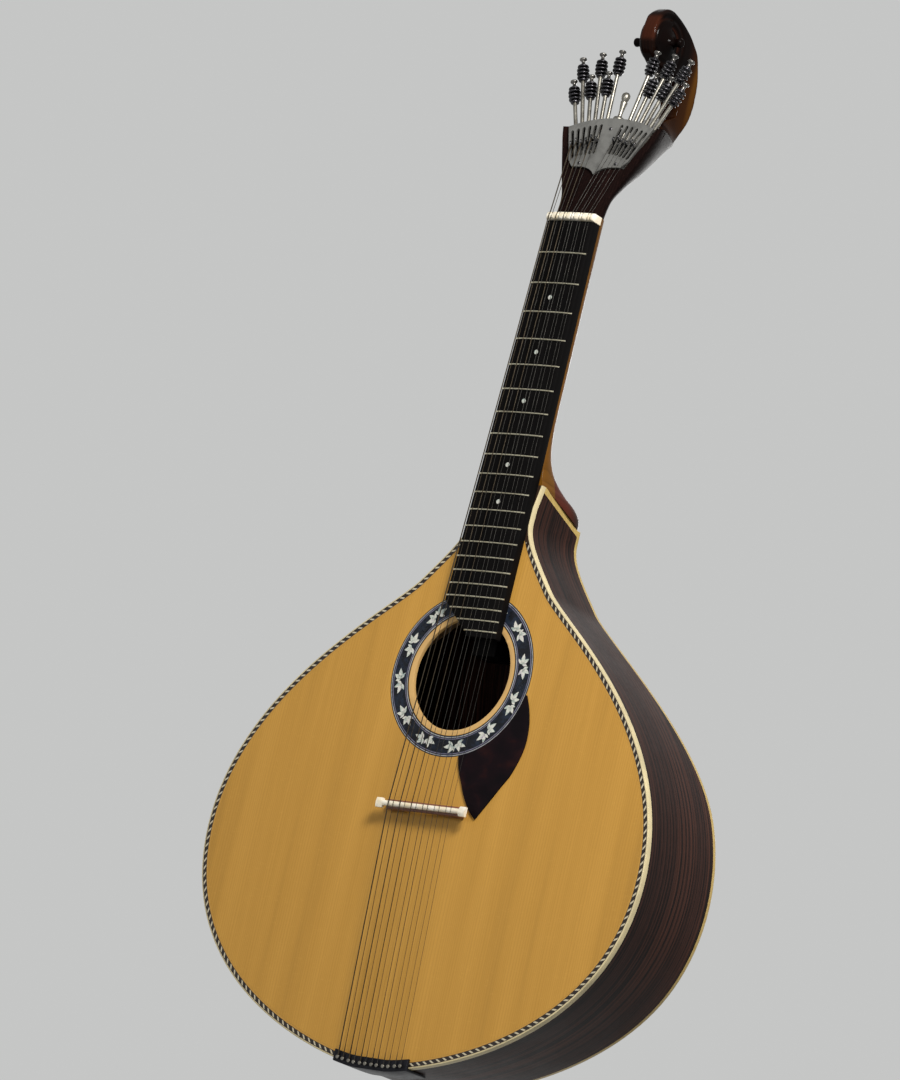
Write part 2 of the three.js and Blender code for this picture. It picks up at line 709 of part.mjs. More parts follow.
function fingerboard() {
  const end = fretPlace(FRET_COUNT) - FINGERBOARD_OVERHANG;
  const rings = [fingerboardRing(-GAP, 0)];
  let jointDone = false;
  for (let number = 1; number <= FRET_COUNT; number += 1) {
    const y = fretPlace(number);
    if (y < -NECK_LENGTH && !jointDone) {
      rings.push(fingerboardRing(-NECK_LENGTH, 0));
      rings.push(fingerboardRing(-NECK_LENGTH - GAP, 0));
      jointDone = true;
    }
    rings.push(fingerboardRing(y + FRET_WIDTH / 2, 0));
    rings.push(fingerboardRing(y + FRET_CROWN / 2, FRET_HEIGHT));
    rings.push(fingerboardRing(y - FRET_CROWN / 2, FRET_HEIGHT));
    rings.push(fingerboardRing(y - FRET_WIDTH / 2, 0));
  }
  rings.push(fingerboardRing(end, 0));
  const slantTop = end + FINGERBOARD_SLANT_RISE;
  const corner = new THREE.Shape();
  corner.moveTo(FINGERBOARD_SLANT_LEFT - OVERRUN, slantTop);
  corner.lineTo(FINGERBOARD_SLANT_LEFT, slantTop);
  corner.lineTo(FINGERBOARD_SLANT_RIGHT, end);
  corner.lineTo(FINGERBOARD_SLANT_RIGHT, end - OVERRUN);
  corner.lineTo(FINGERBOARD_SLANT_LEFT - OVERRUN, end - OVERRUN);
  return cut(loft(rings), slab(corner, -JOINT_DROP, JOINT_DROP + OVERRUN));
}

// A section of the neck from its front to its keel; a low power draws it in to the keel's half width
function neckSection(front, keel, halfWidth, power, flat = 0) {
  const right = [];
  for (let i = 0; i <= NECK_STEPS; i += 1) {
    const turn = (Math.PI / 2) * (i / NECK_STEPS);
    const down = Math.sin(turn) ** (2 / power);
    const out = i === NECK_STEPS ? 0 : Math.cos(turn) ** (2 / power);
    const y = front[0] + (keel[0] - front[0]) * down;
    const z = front[1] + (keel[1] - front[1]) * down;
    right.push([flat + (halfWidth - flat) * out, y, z]);
  }
  const shared = flat > 0 ? right : right.slice(0, -1);
  const left = shared.map(([x, y, z]) => [-x, y, z]).reverse();
  return [...right, ...left].map(([x, y, z]) => fromNut(x, y, z));
}

const NECK_TOP = -FINGERBOARD_EDGE - GAP;

// Heel stations: shares of the heel's length for its front and keel, of its depth and of its width
const HEEL_SHARES = [
  { front: 0, keel: 0, depth: 1, width: 1, power: 8 },
  { front: 0.05, keel: 0.14, depth: 1, width: 1, power: 8 },
  { front: 0.1, keel: 0.24, depth: 0.9, width: 0.97, power: 6 },
  { front: 0.15, keel: 0.31, depth: 0.68, width: 0.93, power: 4.5 },
  { front: 0.25, keel: 0.4, depth: 0.42, width: 0.89, power: 3.5 },
  { front: 0.4, keel: 0.52, depth: 0.2, width: 0.86, power: 2.8 },
  { front: 0.65, keel: 0.7, depth: 0.06, width: 0.84, power: 2.3 },
];

// Space that the body takes from the heel: square under the soundboard, then sloping with the sides
function bodyEnd() {
  const end = BODY_LENGTH + GAP;
  const slopeEnd = BACK_END + GAP;
  const outline = [
    [-OVERRUN, end],
    [innerFrontY(BODY_LENGTH), end],
    [innerBackY(BACK_END), slopeEnd],
    [DEPTH_AT_NECK + OVERRUN, slopeEnd],
    [DEPTH_AT_NECK + OVERRUN, slopeEnd - HEEL_LENGTH],
    [-OVERRUN, slopeEnd - HEEL_LENGTH],
  ];
  return loft([-1, 1].map((side) => outline.map(([y, z]) => point(side * HEEL_HALF_WIDTH * 2, y, z))));
}

function neck(neckMatrix) {
  const heelTop = -NECK_LENGTH + HEEL_LENGTH;
  const keelStart = -NECK_LENGTH - HEEL_SET_BACK - OVERRUN;
  const frontStart = -NECK_LENGTH - OVERRUN;
  const toNeck = neckMatrix.clone().invert();
  const deepest = -JOINT_DROP - DEPTH_AT_NECK;
  const rings = HEEL_SHARES.map(({ front, keel, depth, width, power }) => {
    const yFront = frontStart + (heelTop - frontStart) * front;
    const yKeel = keelStart + (heelTop - keelStart) * keel;
    const zKeel = -NECK_DEPTH + (deepest + NECK_DEPTH) * depth;
    return neckSection([yFront, NECK_TOP], [yKeel, zKeel], HEEL_HALF_WIDTH * width, power);
  });
  const shaft = [heelTop, (heelTop + NUT_THICKNESS) / 2, NUT_THICKNESS];
  shaft.forEach((y) => {
    const half = boardHalfWidth(Math.min(y, 0)) - NECK_INSET;
    rings.push(neckSection([y, NECK_TOP], [y, -NECK_DEPTH], half, 2.1));
  });
  const heel = cut(loft(rings), bodyEnd().applyMatrix4(toNeck));
  return join(heel, neckFoot().applyMatrix4(toNeck));
}

// Bone nut, notched by nothing: the strings lie on its crown
function nut() {
  const half = NUT_HALF_WIDTH + GAP;
  const across = [-1, -1 / 2, 0, 1 / 2, 1];
  const ring = (y, rise) => [
    fromNut(half, y, NECK_TOP + GAP),
    fromNut(-half, y, NECK_TOP + GAP),
    ...across.map((share) => fromNut(half * share, y, rise + FINGERBOARD_CAMBER * (1 - share * share))),
  ];
  return loft([
    ring(0, NUT_RISE / 2),
    ring(NUT_THICKNESS / 3, NUT_RISE),
    ring(NUT_THICKNESS - GAP, NUT_RISE / 2),
  ]);
}

// Face of the head under the fan plate, from the nut
const headFaceZ = (y) =>
  -HEAD_FACE_DROP - (FAN_PLATE_THICKNESS + GAP) / Math.cos(HEAD_ANGLE) - y * Math.tan(HEAD_ANGLE);

// Head stations: shares of its length and keel length, of its depth and half width and, for the keel,
// of the scroll's half width
const HEAD_SHARES = [
  { front: 0.079, keel: 0.07, depth: 0.272, width: 0.45, power: 2, flat: 0.05 },
  { front: 0.19, keel: 0.17, depth: 0.291, width: 0.46, power: 1.9, flat: 0.05 },
  { front: 0.3, keel: 0.28, depth: 0.338, width: 0.5, power: 1.75, flat: 0.1 },
  { front: 0.47, keel: 0.43, depth: 0.469, width: 0.63, power: 1.55, flat: 0.3 },
  { front: 0.62, keel: 0.59, depth: 0.642, width: 0.74, power: 1.4, flat: 0.5 },
  { front: 0.76, keel: 0.75, depth: 0.783, width: 0.84, power: 1.3, flat: 0.7 },
  { front: 0.9, keel: 0.89, depth: 0.899, width: 0.94, power: 1.2, flat: 0.9 },
  { front: 1, keel: 1, depth: 1, width: 1, power: 1.1, flat: 1 },
];

function headSection({ front, keel, depth, width, power, flat }) {
  const yFront = HEAD_LENGTH * front;
  return neckSection(
    [yFront, headFaceZ(yFront)],
    [HEAD_KEEL_LENGTH * keel, -HEAD_KEEL_DEPTH * depth],
    HEAD_HALF_WIDTH * width,
    power,
    SCROLL_HALF_WIDTH * flat,
  );
}

// A piece of a fan, in x and z about the centre of the fan
function fanSector(inner, outer, halfAngle) {
  const [start, end] = [Math.PI / 2 - halfAngle, Math.PI / 2 + halfAngle];
  const shape = new THREE.Shape().absarc(0, 0, outer, start, end);
  return shape.absarc(0, 0, inner, end, start, true);
}

function headBlock(headMatrix) {
  const rings = HEAD_SHARES.map(headSection);
  const wide = FAN_HALF_ANGLE + GAP / (RECESS_INNER_RADIUS / 2);
  const sector = fanSector(RECESS_INNER_RADIUS, FAN_RAIL_RADIUS + OVERRUN, wide);
  const pocket = slab(sector, -OVERRUN, RECESS_DEPTH, FAN_STEPS)
    .translate(0, 0, -FAN_DROP)
    .applyMatrix4(headMatrix);
  return cut(loft(rings), pocket);
}

// Fan machine

const fanAngle = (number) => FAN_FIRST_ANGLE + FAN_STEP_ANGLE * number;
const SCREW_ANGLES = [5, 4, 3, 2, 1, 0].map((number) => -fanAngle(number))
  .concat([0, 1, 2, 3, 4, 5].map((number) => fanAngle(number)));
const isLong = (index) => (index < COURSES ? index % 2 === 1 : index % 2 === 0);

// A straight rod along a ray of the fan, in x and z
function slotShape(angle) {
  const half = SLOT_WIDTH / 2;
  const [sin, cos] = [Math.sin(angle), Math.cos(angle)];
  const at = (across, radius) => new THREE.Vector2(
    across * cos + radius * sin,
    -across * sin + radius * cos,
  );
  return [
    at(-half, SLOT_INNER_RADIUS + half),
    at(0, SLOT_INNER_RADIUS),
    at(half, SLOT_INNER_RADIUS + half),
    at(half, SLOT_OUTER_RADIUS - half),
    at(0, SLOT_OUTER_RADIUS),
    at(-half, SLOT_OUTER_RADIUS - half),
  ];
}

// The face of the machine: an arc above, a drooping leaf below
function fanFaceShape() {
  const shape = new THREE.Shape();
  shape.absarc(0, 0, FAN_RAIL_RADIUS, Math.PI / 2 - FAN_HALF_ANGLE, Math.PI / 2 + FAN_HALF_ANGLE);
  shape.lineTo(-FAN_SHOULDER_HALF_WIDTH, FAN_SHOULDER_HEIGHT);
  shape.lineTo(-FAN_SKIRT_HALF_WIDTH, FAN_SKIRT_HEIGHT);
  shape.lineTo(-FAN_SKIRT_FLAT, FAN_SKIRT_HEIGHT);
  shape.quadraticCurveTo(-FAN_SKIRT_FLAT / 3, FAN_SKIRT_HEIGHT, 0, FAN_TIP_HEIGHT);
  shape.quadraticCurveTo(FAN_SKIRT_FLAT / 3, FAN_SKIRT_HEIGHT, FAN_SKIRT_FLAT, FAN_SKIRT_HEIGHT);
  shape.lineTo(FAN_SKIRT_HALF_WIDTH, FAN_SKIRT_HEIGHT);
  shape.lineTo(FAN_SHOULDER_HALF_WIDTH, FAN_SHOULDER_HEIGHT);
  SCREW_ANGLES.forEach((angle) => shape.holes.push(new THREE.Path(slotShape(angle))));
  return shape;
}

// Place of a screw's ray from the fan's centre, leaning forward about the rail
function rayMatrix(angle) {
  return new THREE.Matrix4().makeTranslation(0, ROD_DEPTH, 0)
    .multiply(new THREE.Matrix4().makeRotationY(angle))
    .multiply(new THREE.Matrix4().makeTranslation(0, 0, FAN_RAIL_RADIUS))
    .multiply(new THREE.Matrix4().makeRotationX(ROD_LEAN))
    .multiply(new THREE.Matrix4().makeTranslation(0, 0, -FAN_RAIL_RADIUS));
}

// A drill along a ray of the fan, through the rail
function railDrill(angle) {
  const from = FAN_RAIL_RADIUS - FAN_RAIL_THICKNESS - GAP;
  const to = FAN_RAIL_RADIUS + OVERRUN / 2;
  const radius = ROD_RADIUS + GAP;
  return new THREE.CylinderGeometry(radius, radius, to - from, ROD_SIDES)
    .rotateX(Math.PI / 2)
    .translate(0, 0, (from + to) / 2)
    .applyMatrix4(rayMatrix(angle));
}

function fanPlate() {
  const under = FAN_PLATE_THICKNESS - GAP;
  const rail = fanSector(FAN_RAIL_RADIUS - FAN_RAIL_THICKNESS, FAN_RAIL_RADIUS, FAN_HALF_ANGLE);
  const lipRadius = SCREW_END_RADIUS - GAP;
  const lip = fanSector(lipRadius - FAN_RAIL_THICKNESS, lipRadius, FAN_LIP_HALF_ANGLE);
  const whole = join(
    slab(fanFaceShape(), 0, FAN_PLATE_THICKNESS, FAN_STEPS / 2),
    slab(rail, under, FAN_RAIL_DEPTH, FAN_STEPS),
    slab(lip, under, FAN_LIP_DEPTH, FAN_STEPS),
  );
  return cut(whole, ...[...SCREW_ANGLES, 0].map(railDrill));
}

// A turned piece along z from pairs of radius and distance
function turned(profile, sides) {
  const outline = profile.map(([radius, along]) => new THREE.Vector2(radius, along));
  return new THREE.LatheGeometry(outline, sides).rotateX(Math.PI / 2);
}

// Knob from its foot to its tip: four rings, then a waist and a button; shares of radius and length
const KNOB_SHARES = [
  [0.82, 0.048], [0.82, 0.17], [0.94, 0.218], [0.94, 0.292], [0.94, 0.34], [1, 0.388],
  [1, 0.462], [0.94, 0.51], [0.94, 0.558], [0.82, 0.632], [0.42, 0.76], [0.36, 0.9], [0.5, 0.94],
];

// Screw with its ringed knob: a lower thread, a collar under the rail, the rod and the knob
function tuner(tip) {
  const collarTop = FAN_RAIL_RADIUS - FAN_RAIL_THICKNESS - GAP;
  const collarFoot = collarTop - COLLAR_LENGTH;
  const foot = tip - KNOB_LENGTH;
  return turned([
    [0, SCREW_END_RADIUS],
    [THREAD_RADIUS, SCREW_END_RADIUS],
    [THREAD_RADIUS, collarFoot],
    [COLLAR_RADIUS, collarFoot],
    [COLLAR_RADIUS, collarTop],
    [ROD_RADIUS, collarTop],
    [ROD_RADIUS, foot],
    ...KNOB_SHARES.map(([out, along]) => [KNOB_RADIUS * out, foot + KNOB_LENGTH * along]),
    [0, tip],
  ], ROD_SIDES);
}

// Reach of a hook in front of its screw: through the slot to the face of the plate
const HOOK_REACH = ROD_DEPTH + (FAN_RAIL_RADIUS - HOOK_REST_RADIUS) * Math.sin(ROD_LEAN) + GAP;

// Hook that rides on the thread, reaches through its slot and holds a string's loop
function hook() {
  const block = boxBetween(
    point(-HOOK_WIDTH / 2, -HOOK_DEPTH / 2, -HOOK_LENGTH / 2),
    point(HOOK_WIDTH / 2, HOOK_DEPTH / 2, HOOK_LENGTH / 2),
  );
  const crest = -HOOK_REACH - HOOK_HEAD_RISE;
  const tongue = boxBetween(
    point(-HOOK_TONGUE_WIDTH / 2, crest, -HOOK_TONGUE_LENGTH / 2),
    point(HOOK_TONGUE_WIDTH / 2, -HOOK_DEPTH / 4, HOOK_TONGUE_LENGTH / 2),
  );
  const beak = boxBetween(
    point(-HOOK_HEAD_WIDTH / 2, crest, -HOOK_TONGUE_LENGTH / 2),
    point(HOOK_HEAD_WIDTH / 2, crest + HOOK_HEAD_RISE / 2, HOOK_TONGUE_LENGTH),
  );
  const bore = THREAD_RADIUS + GAP / 2;
  const drill = new THREE.CylinderGeometry(bore, bore, HOOK_LENGTH + OVERRUN, ROD_SIDES);
  return cut(join(block, tongue, beak), drill.rotateX(Math.PI / 2));
}

const hookRadius = (index) => HOOK_REST_RADIUS + HOOK_SPREAD * Math.sin(2 * index);

// Loop maker from its collar to its crown: shares of its radius and of its rise above the rail
const LOOP_MAKER_SHARES = [
  [1, 0], [1, 0.1], [0.38, 0.16], [0.38, 0.4], [0.62, 0.62], [0.76, 0.82], [0.6, 0.95], [0, 1],
];

// Crank for twisting string loops, between the two halves of the fan
function loopMaker() {
  const seat = FAN_RAIL_RADIUS + GAP * 2;
  const inner = FAN_RAIL_RADIUS - FAN_RAIL_THICKNESS - GAP;
  return turned([
    [0, inner - COLLAR_LENGTH],
    [COLLAR_RADIUS, inner - COLLAR_LENGTH],
    [COLLAR_RADIUS, inner],
    [ROD_RADIUS, inner],
    [ROD_RADIUS, seat],
    ...LOOP_MAKER_SHARES.map(([out, up]) => [LOOP_MAKER_RADIUS * out, seat + LOOP_MAKER_RISE * up]),
  ], ROD_SIDES);
}

// Scroll

// Edge of the roll and of the stem's back about the eye: degrees from the front, share of the radius
const SCROLL_BACK_SHARES = [
  [-106, 0.73], [-93, 0.65], [-70, 0.585], [-45, 0.578], [-20, 0.578], [0, 0.578], [21, 0.626],
  [45, 0.722], [63, 0.82], [84, 0.915], [107, 0.905], [129, 0.97], [147, 1.1], [162, 1.25],
  [172, 1.39], [184, 1.53], [196, 1.73], [207, 1.93], [217, 2.15], [226, 2.33], [234, 2.47],
  [242, 2.66],
];
// Front of the stem, from its root up to the roll, in the same way
const STEM_FRONT_SHARES = [[243, 2.2], [237, 1.98], [231, 1.69], [228.5, 1.31], [234.5, 0.95]];
// Root of the stem: shares of the way from the head to the stem, and of the root's half width
const ROOT_SHARES = [[0, 1], [0.28, 0.62], [0.55, 0.38], [0.8, 0.29], [1, 0.26]];

const aboutEye = ([degrees, share]) => {
  const turn = THREE.MathUtils.degToRad(degrees);
  const radius = SCROLL_RADIUS * share;
  return new THREE.Vector2(
    SCROLL_EYE_LENGTH + radius * Math.sin(turn),
    -SCROLL_EYE_DEPTH + radius * Math.cos(turn),
  );
};

// The roll and its stem, an even board cut to an outline
function scrollBoard() {
  const back = new THREE.SplineCurve(SCROLL_BACK_SHARES.map(aboutEye)).getPoints(SCROLL_BACK_STEPS);
  const stem = new THREE.SplineCurve(STEM_FRONT_SHARES.map(aboutEye)).getPoints(SCROLL_STEM_STEPS);
  const shape = new THREE.Shape([...back, ...stem]);
  const options = { depth: SCROLL_HALF_WIDTH * 2, bevelEnabled: false };
  const geometry = new THREE.ExtrudeGeometry(shape, options);
  const place = geometry.attributes.position;
  for (let i = 0; i < place.count; i += 1) {
    const [y, z, x] = [place.getX(i), place.getY(i), place.getZ(i)];
    place.setXYZ(i, x - SCROLL_HALF_WIDTH, -z, y);
  }
  return geometry;
}

// The root that gathers the head's sides into the stem, behind the recess of the machine
function scrollRoot() {
  const recess = RECESS_DEPTH / Math.cos(HEAD_ANGLE) + GAP;
  const frontFoot = new THREE.Vector2(HEAD_LENGTH + OVERRUN, headFaceZ(HEAD_LENGTH) - recess);
  const keelFoot = new THREE.Vector2(HEAD_KEEL_LENGTH + GAP, -HEAD_KEEL_DEPTH);
  const frontEnd = aboutEye(STEM_FRONT_SHARES[1]);
  const keelEnd = aboutEye(SCROLL_BACK_SHARES.at(-3));
  const { power } = HEAD_SHARES.at(-1);
  return loft(ROOT_SHARES.map(([way, width]) => {
    const front = frontFoot.clone().lerp(frontEnd, way);
    const keel = keelFoot.clone().lerp(keelEnd, way);
    const flat = SCROLL_HALF_WIDTH - GAP;
    return neckSection(front.toArray(), keel.toArray(), SCROLL_ROOT_HALF_WIDTH * width, power, flat);
  }));
}

function scroll() {
  const tip = SCROLL_EYE_HALF_WIDTH + SCROLL_BUTTON_LENGTH;
  const eye = turned([
    [0, -tip],
    [SCROLL_BUTTON_RADIUS, -tip],
    [SCROLL_BUTTON_RADIUS, -SCROLL_EYE_HALF_WIDTH],
    [SCROLL_EYE_RADIUS, -SCROLL_HALF_WIDTH],
    [SCROLL_EYE_RADIUS, SCROLL_HALF_WIDTH],
    [SCROLL_BUTTON_RADIUS, SCROLL_EYE_HALF_WIDTH],
    [SCROLL_BUTTON_RADIUS, tip],
    [0, tip],
  ], SCROLL_SIDES).rotateY(Math.PI / 2).translate(0, SCROLL_EYE_DEPTH, SCROLL_EYE_LENGTH);
  return join(scrollBoard(), scrollRoot(), eye);
}

// Strings

// A thin round cord through its places, each ring square to the length of the guitar
function cord(places, radius) {
  return loft(places.map((here) => Array.from({ length: CORD_SIDES }, (_, i) => {
    const turn = (Math.PI * 2 * i) / CORD_SIDES;
    return point(here.x + radius * Math.cos(turn), here.y + radius * Math.sin(turn), here.z);
  })));
}

function acrossStrings(index, courseSpacing, pairSpacing) {
  const course = Math.floor(index / 2) - (COURSES - 1) / 2;
  const side = index % 2 === 0 ? -1 / 2 : 1 / 2;
  return course * courseSpacing + side * pairSpacing;
}

function string(index, neckMatrix, headMatrix) {
  const radius = STRING_RADII[index];
  const clear = radius + GAP;
  const overBridge = BRIDGE_SEAT - BRIDGE_HEIGHT + GAP - clear;
  const half = SADDLE_END_THICKNESS / 2;
  const xBridge = acrossStrings(index, COURSE_SPACING_AT_BRIDGE, PAIR_SPACING_AT_BRIDGE);
  const xTail = acrossStrings(index, COURSE_SPACING_AT_BRIDGE, PAIR_SPACING_AT_TAIL);
  const xNut = acrossStrings(index, COURSE_SPACING_AT_NUT, PAIR_SPACING_AT_NUT);
  const share = xNut / (NUT_HALF_WIDTH + GAP);
  const crown = NUT_RISE + FINGERBOARD_CAMBER * (1 - share * share) + clear;
  const nutFront = fromNut(xNut, NUT_THICKNESS / 3, crown).applyMatrix4(neckMatrix);
  const nutBack = fromNut(xNut, NUT_THICKNESS, crown).applyMatrix4(neckMatrix);
  const reach = hookRadius(index) - HOOK_TONGUE_LENGTH / 2 - clear;
  const end = point(0, -HOOK_REACH - HOOK_HEAD_RISE / 3, reach)
    .applyMatrix4(rayMatrix(SCREW_ANGLES[index]))
    .add(point(0, 0, -FAN_DROP))
    .applyMatrix4(headMatrix)
    .applyMatrix4(neckMatrix);
  const tailTop = frontY(TAILPIECE_LIP) - GAP - TAILPIECE_RISE;
  return cord([
    point(xTail, tailTop + TAILPIECE_RISE / 2, TAILPIECE_LIP + lowerEdge(xTail) + clear),
    point(xBridge, overBridge, BRIDGE_PLACE - half),
    point(xBridge, overBridge, BRIDGE_PLACE + half),
    nutFront,
    nutBack,
    end,
  ], radius);
}

const lowerEdge = (x) => (Math.abs(x) > TAIL_HALF_WIDTH ? lowerHeightAt(Math.abs(x)) : 0);

// Assembly

const guitar = new THREE.Group();
const body = new THREE.Group();
body.position.y = -DEPTH_AT_TAIL / 2;
guitar.add(body);

const neckGroup = new THREE.Group();
neckGroup.position.copy(NUT_PLACE);
neckGroup.rotation.x = -NECK_ANGLE;
neckGroup.updateMatrix();
body.add(neckGroup);

const headGroup = new THREE.Group();
headGroup.position.y = HEAD_FACE_DROP;
headGroup.rotation.x = -HEAD_ANGLE;
headGroup.updateMatrix();
neckGroup.add(headGroup);

const fanGroup = new THREE.Group();
fanGroup.position.z = -FAN_DROP;
headGroup.add(fanGroup);

addMesh(body, 'soundboard', soundboard(), SPRUCE);
addMesh(body, 'rosette', rosette(), INLAY);
addMesh(body, 'scratch_plate', scratchPlate(), EBONY);
const backInside = (height) => backY(height) - PLATE_THICKNESS;
const frontInside = (height) => frontY(height) + PLATE_THICKNESS;
addMesh(body, 'back_plate', plate(backInside, backY, BACK_END), ROSEWOOD);
const ribRings = rib();
addMesh(body, 'rib_treble', loft(ribRings), ROSEWOOD);
addMesh(body, 'rib_bass', loft(ribRings.map(mirrorRing)), ROSEWOOD);
addMesh(body, 'top_binding', binding(frontY, frontInside, BODY_LENGTH), CREAM);
addMesh(body, 'back_binding', binding(backInside, backY, BACK_END), CREAM);
addMesh(body, 'top_lining', lining(innerFrontY, LINING_DEPTH), INNER_WOOD);
addMesh(body, 'back_lining', lining(innerBackY, -LINING_DEPTH), INNER_WOOD);
addMesh(body, 'tail_block', tailBlock(), INNER_WOOD);
TOP_BRACE_OFFSETS.forEach((offset, i) =>
  addMesh(body, `top_brace_${i + 1}`, topBrace(SOUNDHOLE_HEIGHT + offset), INNER_WOOD));
addMesh(body, 'back_brace', backBrace(BACK_BRACE_HEIGHT), INNER_WOOD);
addMesh(body, 'bridge_foot', bridgeFoot(), NECK_WOOD);
addMesh(body, 'bridge_saddle', saddle(), BONE);
addMesh(body, 'tailpiece', tailpiece(), BLACK_METAL);
addMesh(neckGroup, 'neck', neck(neckGroup.matrix), NECK_WOOD);
addMesh(neckGroup, 'fingerboard', fingerboard(), EBONY);
addMesh(neckGroup, 'nut', nut(), BONE);
addMesh(neckGroup, 'head_block', headBlock(headGroup.matrix), HEAD_WOOD);
addMesh(neckGroup, 'scroll', scroll(), NECK_WOOD);
addMesh(fanGroup, 'fan_plate', fanPlate(), NICKEL);

// A group on a ray of the fan, whose z runs along the screw
function addRay(angle) {
  const ray = new THREE.Group();
  ray.applyMatrix4(rayMatrix(angle));
  fanGroup.add(ray);
  return ray;
}

addMesh(addRay(0), 'loop_maker', loopMaker(), DARK_NICKEL);

SCREW_ANGLES.forEach((angle, index) => {
  const ray = addRay(angle);
  const tip = isLong(index) ? LONG_TIP_RADIUS : SHORT_TIP_RADIUS;
  addMesh(ray, `tuner_${index + 1}`, tuner(tip), DARK_NICKEL);
  addMesh(ray, `hook_${index + 1}`, hook(), STEEL).position.z = hookRadius(index);
  addMesh(body, `string_${index + 1}`, string(index, neckGroup.matrix, headGroup.matrix), STEEL);
});

export default guitar;
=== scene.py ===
"""A twelve-string Portuguese guitar with a fan machine head and a carved scroll."""
import math

import bmesh
import bpy
from bpy.props import FloatProperty, FloatVectorProperty, IntProperty, PointerProperty
from bpy.types import Operator, Panel, PropertyGroup
from mathutils import Matrix, Vector


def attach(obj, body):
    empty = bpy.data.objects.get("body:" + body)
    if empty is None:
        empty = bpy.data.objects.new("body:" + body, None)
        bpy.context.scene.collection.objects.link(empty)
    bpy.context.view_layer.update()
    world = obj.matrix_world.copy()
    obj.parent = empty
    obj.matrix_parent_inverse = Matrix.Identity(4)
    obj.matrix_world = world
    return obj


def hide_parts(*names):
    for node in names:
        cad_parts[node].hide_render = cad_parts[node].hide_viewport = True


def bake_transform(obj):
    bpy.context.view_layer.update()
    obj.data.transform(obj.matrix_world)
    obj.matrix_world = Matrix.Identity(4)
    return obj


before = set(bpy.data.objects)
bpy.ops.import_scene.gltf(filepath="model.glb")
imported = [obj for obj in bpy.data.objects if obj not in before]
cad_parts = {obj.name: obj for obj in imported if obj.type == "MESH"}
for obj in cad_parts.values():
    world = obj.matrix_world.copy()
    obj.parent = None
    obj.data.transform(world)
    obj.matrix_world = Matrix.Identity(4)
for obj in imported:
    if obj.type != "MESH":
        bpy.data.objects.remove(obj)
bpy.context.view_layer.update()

bl_info = {
    "name": "Portuguese guitar",
    "version": (1, 0, 0),
    "blender": (4, 5, 0),
    "location": "3D View > Sidebar > Guitar",
    "description": "Builds the visible pieces and finishes of a Portuguese guitar",
    "category": "Add Mesh",
}

MM = 0.001

# Body, in millimetres

BODY_LENGTH = 431
GAP = 0.3
FIT = GAP * 0.2
PLATE = 3
RIB = 2.2
EDGE_WIDTH = 5.6
EDGE_SIDE = 4.4
ROPE_END = 388
TOP_ARCH = 5
DEPTH_FULL = 81.5
DEPTH_AT_NECK = 59.5
DEPTH_AT_TAIL = 77
BACK_NARROWS = (215, 330)
BACK_FULL = 95
HEEL_SET_BACK = 17
TAIL_HALF_WIDTH = 12
WIDEST = (195, 157.5)
SHOULDER_PLACE = (57.4, 353.9)
SHOULDER_SLOPE = math.radians(49.8)
THROAT = (26, 404)
JOINT_HALF_WIDTH = 28.5
OUTLINE_STEPS = 44
CUT_STEP = 7
SOUNDHOLE_HEIGHT = 287.2
SOUNDHOLE_RADIUS = 41.6
SOUNDHOLE_STEPS = 128
ROSETTE_INNER = 45.9
ROSETTE_OUTER = 61.5
ROSETTE_DEPTH = 1.2
GUARD_REACH = 70.6
GUARD_DROP = 103.9

# Bridge and tail; a spacing holds the distances between courses and within a pair

BRIDGE_HEIGHT = 186.23
BRIDGE_SEAT = -5.23
BRIDGE_HALF_LENGTH = 33
BRIDGE_HALF_THICKNESS = 3.5
SADDLE_CREST = BRIDGE_SEAT - 10.6
SADDLE_REACH = 39.75
SADDLE_HORN = 34.25
TAIL_LIP = 6.5
TAIL_SKIRT = 21
TAIL_HALF_LENGTH = 33
TAIL_THICKNESS = 2.4
TAIL_WALL = 1.8
PIN_HEIGHT = 1.4
BRIDGE_SPACING = (10.3, 4.2)
TAIL_SPACING = (10.3, 4.7)
NUT_SPACING = (6.9, 2.3)

# Neck and head

NECK_LENGTH = 198
SCALE_LENGTH = 443
NECK_LEAN = math.radians(1.18)
NUT_PLACE = (0, -4.92, 629.14)
NUT_HALF_WIDTH = 20.9
BOARD_TAPER = 0.0192
BOARD_EDGE = 8.9
BOARD_CAMBER = 1.3
BOARD_END = -315.9
SLANT_TOP = -291
SLANT_LEFT = -25
SLANT_RIGHT = 3
DOT_SPACES = (3, 5, 7, 10, 12)
JOINT_DROP = 9
NECK_TOP = -9.2
NECK_DEPTH = 23
HEEL_TOP = -148
HEEL_FRONT = -202
HEEL_KEEL = -219
HEEL_DEPTH = -68.5
HEEL_CURVE = 1.6
FRET_HALF_WIDTH = 0.62
FRET_SUNK = 0.25
NUT_THICKNESS = 6
NUT_RISE = 1.2
HEAD_LEAN = math.radians(10.6)
HEAD_DROP = 5.1
HEAD_LENGTH = 80.5
HEAD_KEEL_LENGTH = 91
HEAD_KEEL_DEPTH = 85.3
HEAD_HALF_WIDTH = 45
RECESS_DEPTH = 13
RECESS_START = 58
FAN_DROP = 6.1
FAN_PLATE = 1.6
FAN_HALF_ANGLE = math.radians(23.7)
RAIL_RADIUS = 95.2
RAIL_THICKNESS = 2.2
ROD_DEPTH = 4.9
ROD_LEAN = math.radians(4.9)
SCREW_END = 61
SHORT_TIP = 137.3
LONG_TIP = 154.1
COLLAR = 1.6
CRANK_LENGTH = 23
CRANK_RADIUS = 4.2
KNOB_LENGTH = 20
HOOK_REACH = 6.8
SCROLL_EYE = (158.6, -50.7)
SCROLL_RADIUS = 28
SCROLL_HALF_WIDTH = 8.5
SPIRAL_START = 12.5
SPIRAL_PITCH = 5.5
SPIRAL_DEPTH = 1.7
SPIRAL_REACH = 27
